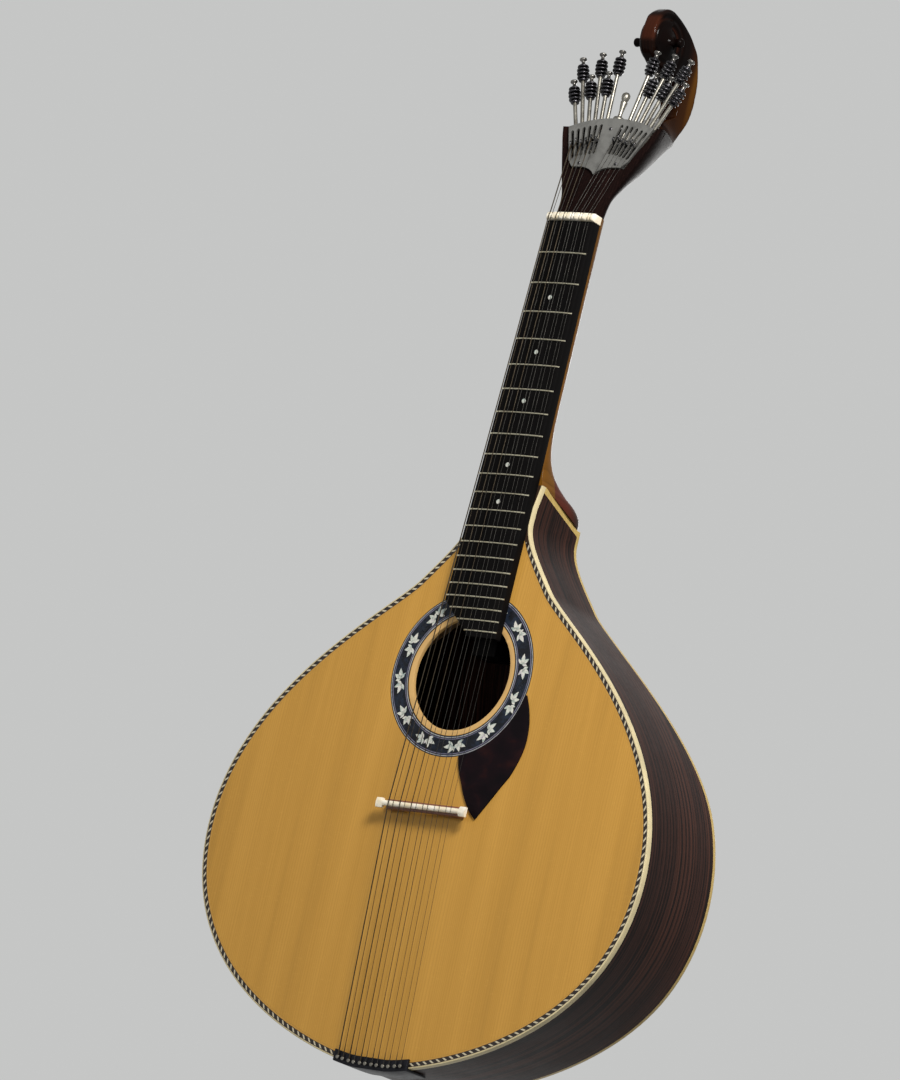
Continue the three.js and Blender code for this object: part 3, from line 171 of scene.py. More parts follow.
SPIRAL_SIDE = 5

# Shares of lengths and angles that give the carved and turned shapes

LEAF_SHARES = ((0, 0.0), (0.22, 0.8), (0.5, 1.0), (0.78, 0.6), (1, 0.0), (0.74, -0.5),
               (0.48, -0.9), (0.2, -0.7))
LEAVES = ((-34, 5.6, 2.6), (14, 7.8, 3.4), (64, 6.4, 3.2), (118, 4.4, 2.4))
GUARD_INNER = ((0.225, 0.575), (0.258, 0.657), (0.339, 0.765), (0.409, 0.852), (0.504, 0.94),
               (0.602, 1))
GUARD_OUTER = ((0.735, 0.859), (0.837, 0.748), (0.919, 0.658), (0.997, 0.493), (1, 0.346),
               (0.953, 0.216), (0.881, 0.107))
HEEL_SHARES = ((0, 0, 1, 1, 8), (0.05, 0.14, 1, 1, 8), (0.1, 0.24, 0.9, 0.97, 6),
               (0.15, 0.31, 0.68, 0.93, 4.5), (0.25, 0.4, 0.42, 0.89, 3.5),
               (0.4, 0.52, 0.2, 0.86, 2.8), (0.65, 0.7, 0.06, 0.84, 2.3))
HEAD_SHARES = ((0.079, 0.07, 0.272, 0.45, 2, 0.05), (0.19, 0.17, 0.291, 0.46, 1.9, 0.05),
               (0.3, 0.28, 0.338, 0.5, 1.75, 0.1), (0.47, 0.43, 0.469, 0.63, 1.55, 0.3),
               (0.62, 0.59, 0.642, 0.74, 1.4, 0.5), (0.76, 0.75, 0.783, 0.84, 1.3, 0.7),
               (0.9, 0.89, 0.899, 0.94, 1.2, 0.9), (1, 1, 1, 1, 1.1, 1))
BACK_SHARES = (
    (-106, 0.73), (-93, 0.65), (-70, 0.585), (-45, 0.578), (-20, 0.578), (0, 0.578), (21, 0.626),
    (45, 0.722), (63, 0.82), (84, 0.915), (107, 0.905), (129, 0.97), (147, 1.1), (162, 1.25),
    (172, 1.39), (184, 1.53), (196, 1.73), (207, 1.93), (217, 2.15), (226, 2.33), (234, 2.47),
    (242, 2.66))
STEM_SHARES = ((243, 2.2), (237, 1.98), (231, 1.69), (228.5, 1.31), (234.5, 0.95))
ROOT_SHARES = ((-0.04, 1.06), (0, 1), (0.28, 0.62), (0.55, 0.38), (0.8, 0.29), (1, 0.26))
SHOULDER = ((8.5, 3.6), (8.1, 2.3), (7.2, 1.3), (5.6, 0.5), (3.6, 0))
EYE_BOSS = ((0, 21.5), (2.6, 21.5), (3.6, 20.6), (3.5, 18.8), (2.9, 16), (3.3, 13.4), (5.4, 11),
            (9, 9.4), (12, 8))
KNOB_RINGS = ((3.0, 0.94), (6.1, 1), (9.2, 1), (12.2, 0.9))
KNOB_CROWN = ((0, 14), (2.0, 14.2), (1.5, 15), (1.25, 16.2), (1.4, 17.3), (2.3, 17.9),
              (2.75, 18.5), (2.65, 19.3), (1.9, 19.8), (0, 20))
TONGUE = ((0.1, -0.6), (0.5, -2), (1.5, -2.7), (2.6, -2.3), (2.9, -1.3))
CRANK_SHARES = ((1, 0), (1.02, 0.05), (0.9, 0.1), (0.4, 0.15), (0.34, 0.26), (0.42, 0.4),
                (0.6, 0.6), (0.62, 0.66), (0.5, 0.7), (0.66, 0.76), (0.76, 0.83), (0.72, 0.92),
                (0.5, 0.98), (0, 1))
RIVETS = ((0, 86), (-16.5, 56.5), (16.5, 56.5))

# Strings

STRING_RADII = (0.42, 0.22, 0.36, 0.18, 0.3, 0.16, 0.2, 0.2, 0.15, 0.15, 0.13, 0.13)
WOUND_STRINGS = (0, 1, 2, 4)
LONG_SCREWS = (1, 3, 5, 6, 8, 10)
HALF_FAN = [math.radians(5.99 + 3.16 * n) for n in range(6)]
SCREW_ANGLES = [-angle for angle in reversed(HALF_FAN)] + HALF_FAN

# Stage, in metres, degrees and watts

CAMERA_PLACE = (2.5892, -3.3484, -0.4654)
CAMERA_TURN = (101.697, -13.297, 35.759)
CAMERA_LENS = 200
FLOOR_HEIGHT = -0.62
LAMPS = (
    ("key", (1.35, -1.15, 1.5), 0.38, (0.7, 0.5), 59, (1, 0.98, 0.95)),
    ("fill", (0.3, -3.2, 0.6), 0.38, (1.2, 0.8), 12, (0.95, 0.98, 1)),
    ("back", (-1.4, 2.9, 0.9), 0.38, (1.4, 1.0), 20, (1, 0.99, 0.97)),
    ("rim", (-1.2, 1.5, 2.2), 0.6, (1.2, 1.2), 6, (1, 1, 1)),
)


def length(name, description, default):
    return FloatProperty(name=name, description=description, default=default, unit="LENGTH")


def colour(name, description, default):
    return FloatVectorProperty(name=name, description=description, default=default,
                               subtype="COLOR", size=3)


class GuitarSizes(PropertyGroup):
    """Sizes of the visible details."""
    edge_cream: length("Cream edge", "Width of the cream edge seen from the front", 0.0009)
    rope_width: length("Rope line", "Width of the rope line beside the cream edge", 0.0033)
    rope_pitch: length("Rope pitch", "Length of a dark and a light piece of the rope", 0.0057)
    grain_pitch: length("Spruce grain", "Mean distance of the soundboard's grain lines", 0.0019)
    heel_strip: length("Heel strip", "Width of the pale strip between sides and heel", 0.0042)
    fret_height: length("Fret height", "Height of a fret wire above the fingerboard", 0.0009)
    dot_radius: length("Dot radius", "Radius of the shell dots in the fingerboard", 0.0017)
    knob_radius: length("Knob radius", "Radius of a tuning knob at its widest ring", 0.0047)
    leaf_sprays: IntProperty(
        name="Leaf sprays", description="Number of pairs of shell sprays in the rosette", default=12)
    fret_count: IntProperty(
        name="Frets", description="Number of fret wires", default=21)


class GuitarColours(PropertyGroup):
    """Colours of the finishes."""
    spruce: colour("Spruce", "Soundboard", (0.48, 0.252, 0.045))
    rosewood: colour("Rosewood", "Sides and back", (0.026, 0.0098, 0.0066))
    amber: colour("Neck wood", "Neck and the stem of the scroll", (0.13, 0.052, 0.005))
    umber: colour("Shaded wood", "Head and the sides of the scroll", (0.010, 0.0055, 0.005))
    cream: colour("Cream", "Edges of the body", (0.62, 0.52, 0.30))
    bone: colour("Bone", "Nut and saddle", (0.82, 0.77, 0.66))
    ebony: colour("Ebony", "Fingerboard and the foot of the neck", (0.004, 0.0036, 0.0036))
    nickel: colour("Nickel", "Fan plate", (0.25, 0.246, 0.23))
    wall: colour("Background", "Pale background behind the guitar", (0.56, 0.565, 0.56))


def sizes():
    return bpy.context.scene.guitar_sizes


def colours():
    return bpy.context.scene.guitar_colours


# Places and frames, in millimetres

BODY = Matrix.Scale(MM, 4) @ Matrix.Translation((0, -DEPTH_AT_TAIL / 2, 0))
NECK = BODY @ Matrix.Translation(NUT_PLACE) @ Matrix.Rotation(-NECK_LEAN, 4, "X")
HEAD = NECK @ Matrix.Translation((0, HEAD_DROP, 0)) @ Matrix.Rotation(-HEAD_LEAN, 4, "X")
FAN = HEAD @ Matrix.Translation((0, 0, -FAN_DROP))
INTO_BODY = BODY.inverted()
INTO_NECK = NECK.inverted()


def ray(angle):
    """Frame of a screw whose z runs along it from the fan's centre."""
    return (FAN @ Matrix.Translation((0, ROD_DEPTH, 0)) @ Matrix.Rotation(angle, 4, "Y")
            @ Matrix.Translation((0, 0, RAIL_RADIUS)) @ Matrix.Rotation(ROD_LEAN, 4, "X")
            @ Matrix.Translation((0, 0, -RAIL_RADIUS)))


def upright(place, axis="X"):
    """A shift that also turns the z axis by a right angle about another."""
    return Matrix.Translation(place) @ Matrix.Rotation(math.radians(90), 4, axis)


def from_nut(x, y, z):
    """A place given by x across, y up the neck and z towards the player's eye."""
    return Vector((x, -z, y))


def smoothstep(value, low, high):
    share = min(max((value - low) / (high - low), 0), 1)
    return share * share * (3 - 2 * share)


def mix(a, b, share):
    return a + (b - a) * share


def front_y(height):
    share = min(max(height / BODY_LENGTH, 0), 1)
    return -TOP_ARCH * 4 * share * (1 - share)


def back_y(height):
    upper = smoothstep(height, *BACK_NARROWS)
    lower = 1 - smoothstep(height, 0, BACK_FULL)
    return (DEPTH_FULL - (DEPTH_FULL - DEPTH_AT_NECK) * upper
            - (DEPTH_FULL - DEPTH_AT_TAIL) * lower)


def bezier(start, first, second, end, steps):
    """Points of a cubic curve after its start."""
    points = []
    for i in range(1, steps + 1):
        t = i / steps
        points.append(start * (1 - t) ** 3 + first * (3 * t * (1 - t) ** 2)
                      + second * (3 * t * t * (1 - t)) + end * t ** 3)
    return points


def half_outline():
    """Treble half of the body's outline from the tail to the neck, in x and z."""
    slope = Vector((math.cos(SHOULDER_SLOPE), -math.sin(SHOULDER_SLOPE)))
    tail, bout = Vector((TAIL_HALF_WIDTH, 0)), Vector(WIDEST)
    shoulder, throat = Vector(SHOULDER_PLACE), Vector(THROAT)
    points = [tail]
    for start, first, second, end, steps in (
        (tail, Vector((32.2, 0)), Vector((bout.x, 30.1)), bout, OUTLINE_STEPS),
        (bout, Vector((bout.x, 264)), shoulder + slope * 30.8, shoulder, OUTLINE_STEPS),
        (shoulder, shoulder - slope * 35.2, Vector((throat.x, 392)), throat,
         OUTLINE_STEPS // 2),
    ):
        points += bezier(start, first, second, end, steps)
    return points + [Vector((throat.x, BODY_LENGTH - HEEL_SET_BACK)),
                     Vector((JOINT_HALF_WIDTH, BODY_LENGTH))]


def inset(points, distance):
    """The outline moved inwards, square to itself."""
    last = len(points) - 1
    moved = []
    for i, here in enumerate(points):
        along = points[min(i + 1, last)] - points[max(i - 1, 0)]
        if i == 0:
            along = Vector((1, 0))
        if i >= last - 1:
            along = Vector((0, 1))
        along.normalize()
        moved.append(Vector((here.x - along.y * distance, here.y + along.x * distance)))
    return moved


def catmull(points, steps):
    """A smooth curve through points of any size."""
    last = len(points) - 1
    curve = []
    for i in range(last):
        a, b = points[max(i - 1, 0)], points[i]
        c, d = points[i + 1], points[min(i + 2, last)]
        for s in range(steps):
            t = s / steps
            curve.append((b * 2 + (c - a) * t + (a * 2 - b * 5 + c * 4 - d) * t * t
                          + (b * 3 - a - c * 3 + d) * t ** 3) * 0.5)
    return curve + [points[-1].copy()]


def across_strings(index, spacing):
    """Place of a string across the guitar."""
    course = index // 2 - 2.5
    return course * spacing[0] + (-0.5 if index % 2 == 0 else 0.5) * spacing[1]


def laid(outline, depth, axis=1):
    """Pairs of numbers as places at a depth along an axis."""
    places = []
    for pair in outline:
        place = list(pair)
        place.insert(axis, depth)
        places.append(Vector(place))
    return places


# Mesh helpers

def carry(bm, verts, places):
    """Extrudes a ring of vertices and sets the new ones down at their places."""
    count = len(verts)
    edges = [bm.edges.get((verts[i], verts[(i + 1) % count])) for i in range(count)]
    made = bmesh.ops.extrude_edge_only(bm, edges=edges)["geom"]
    fresh = {item for item in made if isinstance(item, bmesh.types.BMVert)}
    moved = []
    for vert, place in zip(verts, places):
        new = next(edge.other_vert(vert) for edge in vert.link_edges
                   if edge.other_vert(vert) in fresh)
        new.co = place
        moved.append(new)
    return moved


def loop_of(bm, places, closed=True):
    """A chain of vertices and edges."""
    verts = [bm.verts.new(place) for place in places]
    for a, b in zip(verts, verts[1:]):
        bm.edges.new((a, b))
    if closed:
        bm.edges.new((verts[-1], verts[0]))
    return verts


def ring_edges(bm, verts):
    return [bm.edges.get((verts[i - 1], verts[i])) for i in range(len(verts))]


def cap(bm, verts):
    bmesh.ops.edgeloop_fill(bm, edges=ring_edges(bm, verts))


def skin(bm, rings, charted=False):
    """A closed skin over rings of equal length, charted along and round it where asked."""
    layers = [bm.verts.layers.float.new(name) for name in ("along", "around") if charted]
    loops = [loop_of(bm, rings[0])]
    for places in rings[1:]:
        loops.append(carry(bm, loops[-1], places))
    cap(bm, loops[0])
    cap(bm, loops[-1])
    if charted:
        chart(bm, loops, *layers)


def chart(bm, loops, along, around):
    """Writes the lengths along and round a skin into a UV map, with the closing strip unwrapped."""
    travelled = 0
    for r, ring in enumerate(loops):
        if r:
            travelled += (ring[0].co - loops[r - 1][0].co).length
        passed = 0
        for i, vert in enumerate(ring):
            if i:
                passed += (vert.co - ring[i - 1].co).length
            vert[along], vert[around] = travelled * MM, passed * MM
    uv = bm.loops.layers.uv.new("Length")
    turn = max(vert[around] for vert in bm.verts)
    for face in bm.faces:
        passed = [vert[around] for vert in face.verts]
        wraps = len(passed) == 4 and min(passed) == 0 and max(passed) > turn * 0.9
        for loop in face.loops:
            value = loop.vert[around]
            if wraps and value == 0:
                value = turn * 1.2
            loop[uv].uv = (loop.vert[along], value)


def soften(bm, width, angle=35, segments=2, edges=None):
    """Rounds the edges that turn by more than an angle."""
    bm.normal_update()
    sharp = [edge for edge in (edges or bm.edges)
             if edge.is_manifold and edge.calc_face_angle(0) > math.radians(angle)]
    bmesh.ops.bevel(bm, geom=sharp, offset=width, offset_type="OFFSET", segments=segments,
                    profile=0.5, affect="EDGES", clamp_overlap=True, material=-1)


def revolve(bm, verts, edges, steps, centre=(0, 0, 0), axis=(0, 0, 1)):
    bmesh.ops.spin(bm, geom=verts + edges, cent=centre, axis=axis, dvec=(0, 0, 0),
                   angle=math.tau, steps=steps, use_merge=True, use_duplicate=False)
    bmesh.ops.remove_doubles(bm, verts=bm.verts, dist=1e-4)


def turned(profile, steps):
    """A solid turned about the z axis from pairs of radius and height."""
    bm = bmesh.new()
    verts = loop_of(bm, [Vector((radius, 0, height)) for radius, height in profile], closed=False)
    revolve(bm, verts, [bm.edges.get(pair) for pair in zip(verts, verts[1:])], steps)
    return bm


def slab(bm, outline, low, high, axis=1):
    """A polygon pushed from one depth to another, with its first ring returned."""
    verts = loop_of(bm, laid(outline, low, axis))
    cap(bm, verts)
    cap(bm, carry(bm, verts, laid(outline, high, axis)))
    return verts


def box(bm, low, high):
    low, high = Vector(low), Vector(high)
    for vert in bmesh.ops.create_cube(bm, size=1)["verts"]:
        vert.co = Vector(tuple(low[k] + (high[k] - low[k]) * (vert.co[k] + 0.5) for k in range(3)))


def add_into(bm, other, matrix=None):
    """Adds one mesh to another, at its place where one is given."""
    if matrix:
        bmesh.ops.transform(other, matrix=matrix, verts=other.verts)
    mesh = bpy.data.meshes.new("part")
    other.to_mesh(mesh)
    other.free()
    bm.from_mesh(mesh)
    bpy.data.meshes.remove(mesh)


def everything(bm):
    return bm.verts[:] + bm.edges[:] + bm.faces[:]


def as_object(bm, name):
    bmesh.ops.recalc_face_normals(bm, faces=bm.faces)
    mesh = bpy.data.meshes.new(name)
    bm.to_mesh(mesh)
    bm.free()
    made = bpy.data.objects.new(name, mesh)
    bpy.context.scene.collection.objects.link(made)
    return made


def publish(name, bm, matrix, finish, node=None, body="root", sharp=32):
    """Turns a mesh into a finished piece that rides on a body and may stand for a node."""
    bmesh.ops.transform(bm, matrix=matrix, verts=bm.verts)
    piece = as_object(bm, name)
    mesh = piece.data
    mesh.materials.append(bpy.data.materials[finish])
    mesh.polygons.foreach_set("use_smooth", [True] * len(mesh.polygons))
    mesh.set_sharp_from_angle(angle=math.radians(sharp))
    if body:
        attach(piece, body)
    if node:
        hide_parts(node)
    return piece


def applied(target, *others):
    """The target's mesh with its modifiers applied; the target and the others are taken away."""
    graph = bpy.context.evaluated_depsgraph_get()
    mesh = bpy.data.meshes.new_from_object(target.evaluated_get(graph))
    for each in (target, *others):
        bpy.data.objects.remove(each)
    bm = bmesh.new()
    bm.from_mesh(mesh)
    bpy.data.meshes.remove(mesh)
    return bm


def carved(bm, cutter):
    """A mesh with another cut out of it."""
    target, tool = as_object(bm, "blank"), as_object(cutter, "tool")
    modifier = target.modifiers.new("Carve", "BOOLEAN")
    modifier.object = tool
    modifier.operation = "DIFFERENCE"
    modifier.solver = "EXACT"
    return applied(target, tool)


# Material helpers

class Value:
    """An output in a node tree; a sum with it adds a node."""

    def __init__(self, tree, socket):
        self.tree = tree
        self.socket = socket

    def maths(self, operation, other=0.0):
        return self.tree.value("ShaderNodeMath", {0: self, 1: other}, operation=operation)

    def __add__(self, other):
        return self.maths("ADD", other)

    def __sub__(self, other):
        return self.maths("SUBTRACT", other)

    def __mul__(self, other):
        return self.maths("MULTIPLY", other)

    def __truediv__(self, other):
        return self.maths("DIVIDE", other)

    def __lt__(self, other):
        return self.maths("LESS_THAN", other)

    def __gt__(self, other):
        return self.maths("GREATER_THAN", other)

    def __abs__(self):
        return self.maths("ABSOLUTE")


class Tree:
    """Adds nodes to one node tree and links them."""

    def __init__(self, tree):
        tree.nodes.clear()
        self.tree = tree

    def add(self, kind, inputs=None, **settings):
        node = self.tree.nodes.new(kind)
        for key, value in settings.items():
            setattr(node, key, value)
        for key, value in (inputs or {}).items():
            self.set(node.inputs[key], value)
        return node

    def value(self, kind, inputs=None, output=0, **settings):
        return Value(self, self.add(kind, inputs, **settings).outputs[output])

    def values(self, node):
        return [Value(self, socket) for socket in node.outputs]

    def set(self, socket, value):
        value = getattr(value, "socket", value)
        if isinstance(value, bpy.types.NodeSocket):
            self.tree.links.new(value, socket)
        elif hasattr(value, "__len__") and len(value) == 3 and socket.type == "RGBA":
            socket.default_value = (*value, 1)
        else:
            socket.default_value = value

    def blend(self, share, a, b):
        return self.value("ShaderNodeMix", {0: share, 6: a, 7: b}, 2, data_type="RGBA",
                          clamp_factor=True)

    def either(self, share, a, b):
        return self.value("ShaderNodeMixShader", {0: share, 1: a, 2: b})

    def span(self, value, low, high, to_low=0.0, to_high=1.0, smooth=False):
        return self.value("ShaderNodeMapRange", {0: value, 1: low, 2: high, 3: to_low, 4: to_high},
                          interpolation_type="SMOOTHSTEP" if smooth else "LINEAR", clamp=True)

    def noise(self, vector, scale, detail=3.0, roughness=0.55, distortion=0.0):
        return self.value("ShaderNodeTexNoise", {
            "Vector": vector, "Scale": scale, "Detail": detail, "Roughness": roughness,
            "Distortion": distortion})

    def stretch(self, vector, scale=(1, 1, 1), turn=(0, 0, 0)):
        return self.value("ShaderNodeMapping", {
            "Vector": vector, "Scale": scale, "Rotation": turn})

    def ramp(self, value, *stops, interpolation="LINEAR"):
        node = self.add("ShaderNodeValToRGB", {0: value})
        node.color_ramp.interpolation = interpolation
        elements = node.color_ramp.elements
        while len(elements) < len(stops):
            elements.new(0.5)
        for element, (position, tint) in zip(elements, stops):
            element.position = position
            element.color = (*tint, 1)
        return Value(self, node.outputs[0])

    def split(self, vector):
        return self.values(self.add("ShaderNodeSeparateXYZ", {0: vector}))

    def join(self, x, y, z):
        return self.value("ShaderNodeCombineXYZ", {0: x, 1: y, 2: z})

    def distance(self, a, b):
        return (a * a + b * b).maths("SQRT")

    def where(self):
        """Place on the piece."""
        return self.value("ShaderNodeTexCoord", output="Object")

    def chart(self):
        """Lengths along and round the piece."""
        return self.value("ShaderNodeUVMap", uv_map="Length")

    def group(self, name, **inputs):
        return self.values(self.add("ShaderNodeGroup", inputs, node_tree=bpy.data.node_groups[name]))

    def seen(self):
        """One where the camera looks, by way of a mirror or glass too."""
        rays = self.add("ShaderNodeLightPath").outputs
        camera = Value(self, rays["Is Camera Ray"]).maths("MAXIMUM", rays["Is Glossy Ray"])
        return camera.maths("MAXIMUM", rays["Is Transmission Ray"])


class Finish(Tree):
    """A new material and its shader."""

    def __init__(self, name, coat=0.0, coat_roughness=0.06, metallic=0.0, specular=0.5, ior=1.5):
        self.material = bpy.data.materials.new(name)
        self.material.use_nodes = True
        super().__init__(self.material.node_tree)
        self.shader = self.add("ShaderNodeBsdfPrincipled", {
            "Coat Weight": coat, "Coat Roughness": coat_roughness, "Metallic": metallic,
            "Specular IOR Level": specular, "IOR": ior})
        self.result = self.add("ShaderNodeOutputMaterial", {0: self.shader.outputs[0]}).inputs[0]

    def grain(self, vector, pitch, wander):
        return self.group("Grain", Vector=vector, Pitch=pitch, Wander=wander)

    def handled(self, clean, touched):
        return self.group("Handling", Vector=self.where(), Clean=clean, Touched=touched)[0]

    def surface(self, tint, rough, height=None, relief=0.0):
        """Colour, roughness and relief; a pair of roughnesses is clean and touched."""
        inputs = self.shader.inputs
        self.set(inputs["Base Color"], tint)
        self.set(inputs["Roughness"], self.handled(*rough) if isinstance(rough, tuple) else rough)
        if relief:
            self.set(inputs["Normal"], self.value("ShaderNodeBump", {
                "Height": height, "Strength": relief, "Distance": 0.0002}))


def new_group(name, inputs, outputs):
    """An empty node group that takes a vector and numbers and gives numbers."""
    group = bpy.data.node_groups.new(name, "ShaderNodeTree")
    for way, sockets in (("INPUT", inputs), ("OUTPUT", outputs)):
        for socket in sockets:
            kind = "NodeSocketVector" if socket == "Vector" else "NodeSocketFloat"
            group.interface.new_socket(socket, in_out=way, socket_type=kind)
    tree = Tree(group)
    given = tree.values(tree.add("NodeGroupInput"))[:len(inputs)]
    return tree, given, tree.add("NodeGroupOutput").inputs


def make_groups():
    """Effects that several finishes share."""
    tree, (vector, pitch, wander), out = new_group(
        "Grain", ("Vector", "Pitch", "Wander"), ("Lines", "Bands", "Fibre"))
    x, y, z = tree.split(vector)
    drift = tree.noise(tree.stretch(vector, (9, 9, 1.2)), 1.0, 2.0)
    across = x + (drift - 0.5) * wander
    count = across / pitch
    uneven = tree.noise(tree.join(count * 0.11, y, 0.0), 1.0, 1.0)
    saw = (count + uneven * 5.0).maths("FRACT")
    edge = tree.span(saw, 0.88, 1.0, 1.0, 0.0, smooth=True)
    wide = tree.join(across * 42.0, y * 20.0, z * 1.6)
    fine = tree.join(across * 2600.0, y * 2600.0, z * 70.0)
    tree.set(out["Lines"], saw.maths("POWER", 3.0) * edge)
    tree.set(out["Bands"], tree.noise(wide, 1.0, 3.0, 0.6))
    tree.set(out["Fibre"], tree.noise(fine, 1.0, 3.0, 0.65))

    tree, (vector, clean, touched), out = new_group(
        "Handling", ("Vector", "Clean", "Touched"), ("Roughness",))
    cloud = tree.noise(vector, 14.0, 4.0, 0.6)
    speck = tree.noise(vector, 420.0, 2.0, 0.6)
    haze = tree.span(cloud * 0.75 + speck * 0.25, 0.38, 0.66)
    tree.set(out["Roughness"], tree.value("ShaderNodeMix", {0: haze, 2: clean, 3: touched},
                                          data_type="FLOAT"))


def shade(tint, red, green=None, blue=None):
    """A colour times one share, or times a share for each of its channels."""
    shares = (red, red, red) if green is None else (red, green, blue)
    return tuple(channel * share for channel, share in zip(tint, shares))


def from_soundhole(tree):
    x, _, z = tree.split(tree.where())
    return tree.distance(x, z - SOUNDHOLE_HEIGHT * MM)


def make_spruce():
    """Golden lacquered spruce, its grain up the body and mirrored at the middle joint."""
    tree = Finish("Spruce", coat=0.09, coat_roughness=0.1, specular=0.22)
    spruce = tuple(colours().spruce)
    x, y, z = tree.split(tree.where())
    lines, bands, fibre = tree.grain(tree.join(abs(x), y, z), sizes().grain_pitch, 0.006)
    base = tree.ramp(bands, (0.28, shade(spruce, 0.80)), (0.47, spruce),
                     (0.72, shade(spruce, 1.14, 1.16, 1.25)))
    grained = tree.blend(lines * 0.42, base, shade(spruce, 0.62, 0.50, 0.36))
    flecks = tree.span(tree.noise(tree.stretch(tree.where(), (240, 60, 900)), 1.0, 2.0), 0.6, 0.78)
    silk = tree.blend(flecks * 0.22, grained, shade(spruce, 1.3, 1.4, 1.6))
    worn = tree.blend(tree.span(fibre, 0.35, 0.7) * 0.2, silk, shade(spruce, 0.72))
    rim = from_soundhole(tree) < (ROSETTE_INNER - 0.4) * MM
    tree.surface(tree.blend(rim * 0.7, worn, (0.62, 0.40, 0.17)), (0.34, 0.5),
                 lines * -0.4 + fibre, 0.06)


def make_rosewood(name, charted):
    """Dark rosewood with purple-brown streaks and fine black lines."""
    tree = Finish(name, coat=0.02, coat_roughness=0.12, ior=1.2)
    rosewood = tuple(colours().rosewood)
    if charted:
        along, across, _ = tree.split(tree.chart())
    else:
        across, _, along = tree.split(tree.where())
    lines, bands, fibre = tree.grain(tree.join(across, 0.0, along), 0.0026, 0.011)
    base = tree.ramp(bands, (0.32, shade(rosewood, 0.35)), (0.48, rosewood),
                     (0.66, shade(rosewood, 2.0, 1.9, 1.7)))
    thin = tree.noise(tree.join(across * 430.0, 0.0, along * 3.0), 1.0, 2.0)
    streaked = tree.blend(tree.span(thin, 0.46, 0.58, smooth=True), base, shade(rosewood, 0.16))
    lined = tree.blend(lines * 0.9, streaked, shade(rosewood, 0.06))
    pored = tree.blend(tree.span(fibre, 0.52, 0.66) * 0.3, lined, shade(rosewood, 2.9, 2.8, 2.8))
    tree.surface(pored, (0.3, 0.46), lines - fibre, 0.1)


def make_edge():
    """Cream edge with a rope line between two dark lines, laid out along the edge's own chart."""
    tree = Finish("Roped edge", coat=0.1, coat_roughness=0.15, specular=0.35)
    cream = tuple(colours().cream)
    along, around, _ = tree.split(tree.chart())
    height = tree.split(tree.where())[2]
    start = EDGE_SIDE * MM + sizes().edge_cream
    end = start + sizes().rope_width
    dark_line = 0.0005
    turns = ((along + around * 1.1) / sizes().rope_pitch).maths("FRACT")
    light = tree.span(abs(turns - 0.5), 0.32, 0.38)
    rope = tree.blend(light, (0.015, 0.010, 0.008), (0.50, 0.44, 0.31))
    in_dark = (around > start) * (around < end)
    in_rope = (height < ROPE_END * MM) * (around > start + dark_line) * (around < end - dark_line)
    stain = tree.noise(tree.where(), 60.0, 3.0)
    body = tree.blend(tree.span(stain, 0.35, 0.7), cream, shade(cream, 0.78))
    faced = tree.blend(around > end, body, shade(colours().spruce, 0.95))
    dark = tree.blend(in_dark, faced, (0.030, 0.016, 0.009))
    tree.surface(tree.blend(in_rope, dark, rope), (0.28, 0.45),
                 tree.noise(tree.where(), 900.0, 2.0), 0.05)


def make_golden():
    """Plain golden wood of the back's edge and the heel strip."""
    tree = Finish("Golden edge", coat=0.1, coat_roughness=0.15, specular=0.35)
    gold = shade(colours().cream, 0.85, 0.74, 0.42)
    fibre = tree.noise(tree.stretch(tree.where(), (900, 900, 160)), 1.0, 3.0)
    tree.surface(tree.blend(tree.span(fibre, 0.35, 0.7), gold, shade(gold, 0.8, 0.7, 0.5)),
                 (0.3, 0.45), fibre, 0.06)


def make_neck_wood():
    """Amber neck wood that is stained darker and redder towards its keel."""
    tree = Finish("Neck wood", coat=0.06, coat_roughness=0.06, ior=1.15)
    amber = tuple(colours().amber)
    lines, bands, fibre = tree.grain(tree.where(), 0.0021, 0.02)
    y = tree.split(tree.where())[1]
    depth = tree.span(y + bands * 0.004, -0.0205, -0.0185, smooth=True)
    base = tree.ramp(bands, (0.3, shade(amber, 0.7)), (0.5, amber), (0.7, shade(amber, 1.35)))
    low = tree.span(y, -0.004, 0.014)
    stain = tree.blend(low, (0.070, 0.011, 0.006), (0.010, 0.004, 0.004))
    stained = tree.blend(depth * 0.94, base, stain)
    lined = tree.blend(lines * 0.45, stained, shade(amber, 0.16))
    tree.surface(tree.blend(tree.span(fibre, 0.5, 0.7) * 0.25, lined, shade(amber, 0.3)),
                 (0.25, 0.42), lines - fibre, 0.05)


def make_head_wood():
    """Near-black head with faint red-brown grain."""
    tree = Finish("Head wood", ior=1.03)
    umber = tuple(colours().umber)
    lines, bands, fibre = tree.grain(tree.where(), 0.0024, 0.012)
    base = tree.ramp(bands, (0.32, shade(umber, 0.6)), (0.52, umber),
                     (0.72, shade(umber, 2.6, 1.7, 1.4)))
    lined = tree.blend(lines * 0.8, base, shade(umber, 0.25))
    tree.surface(tree.blend(tree.span(fibre, 0.54, 0.7) * 0.6, lined, shade(umber, 3.4, 2.6, 2.3)),
                 (0.28, 0.42), lines - fibre, 0.08)


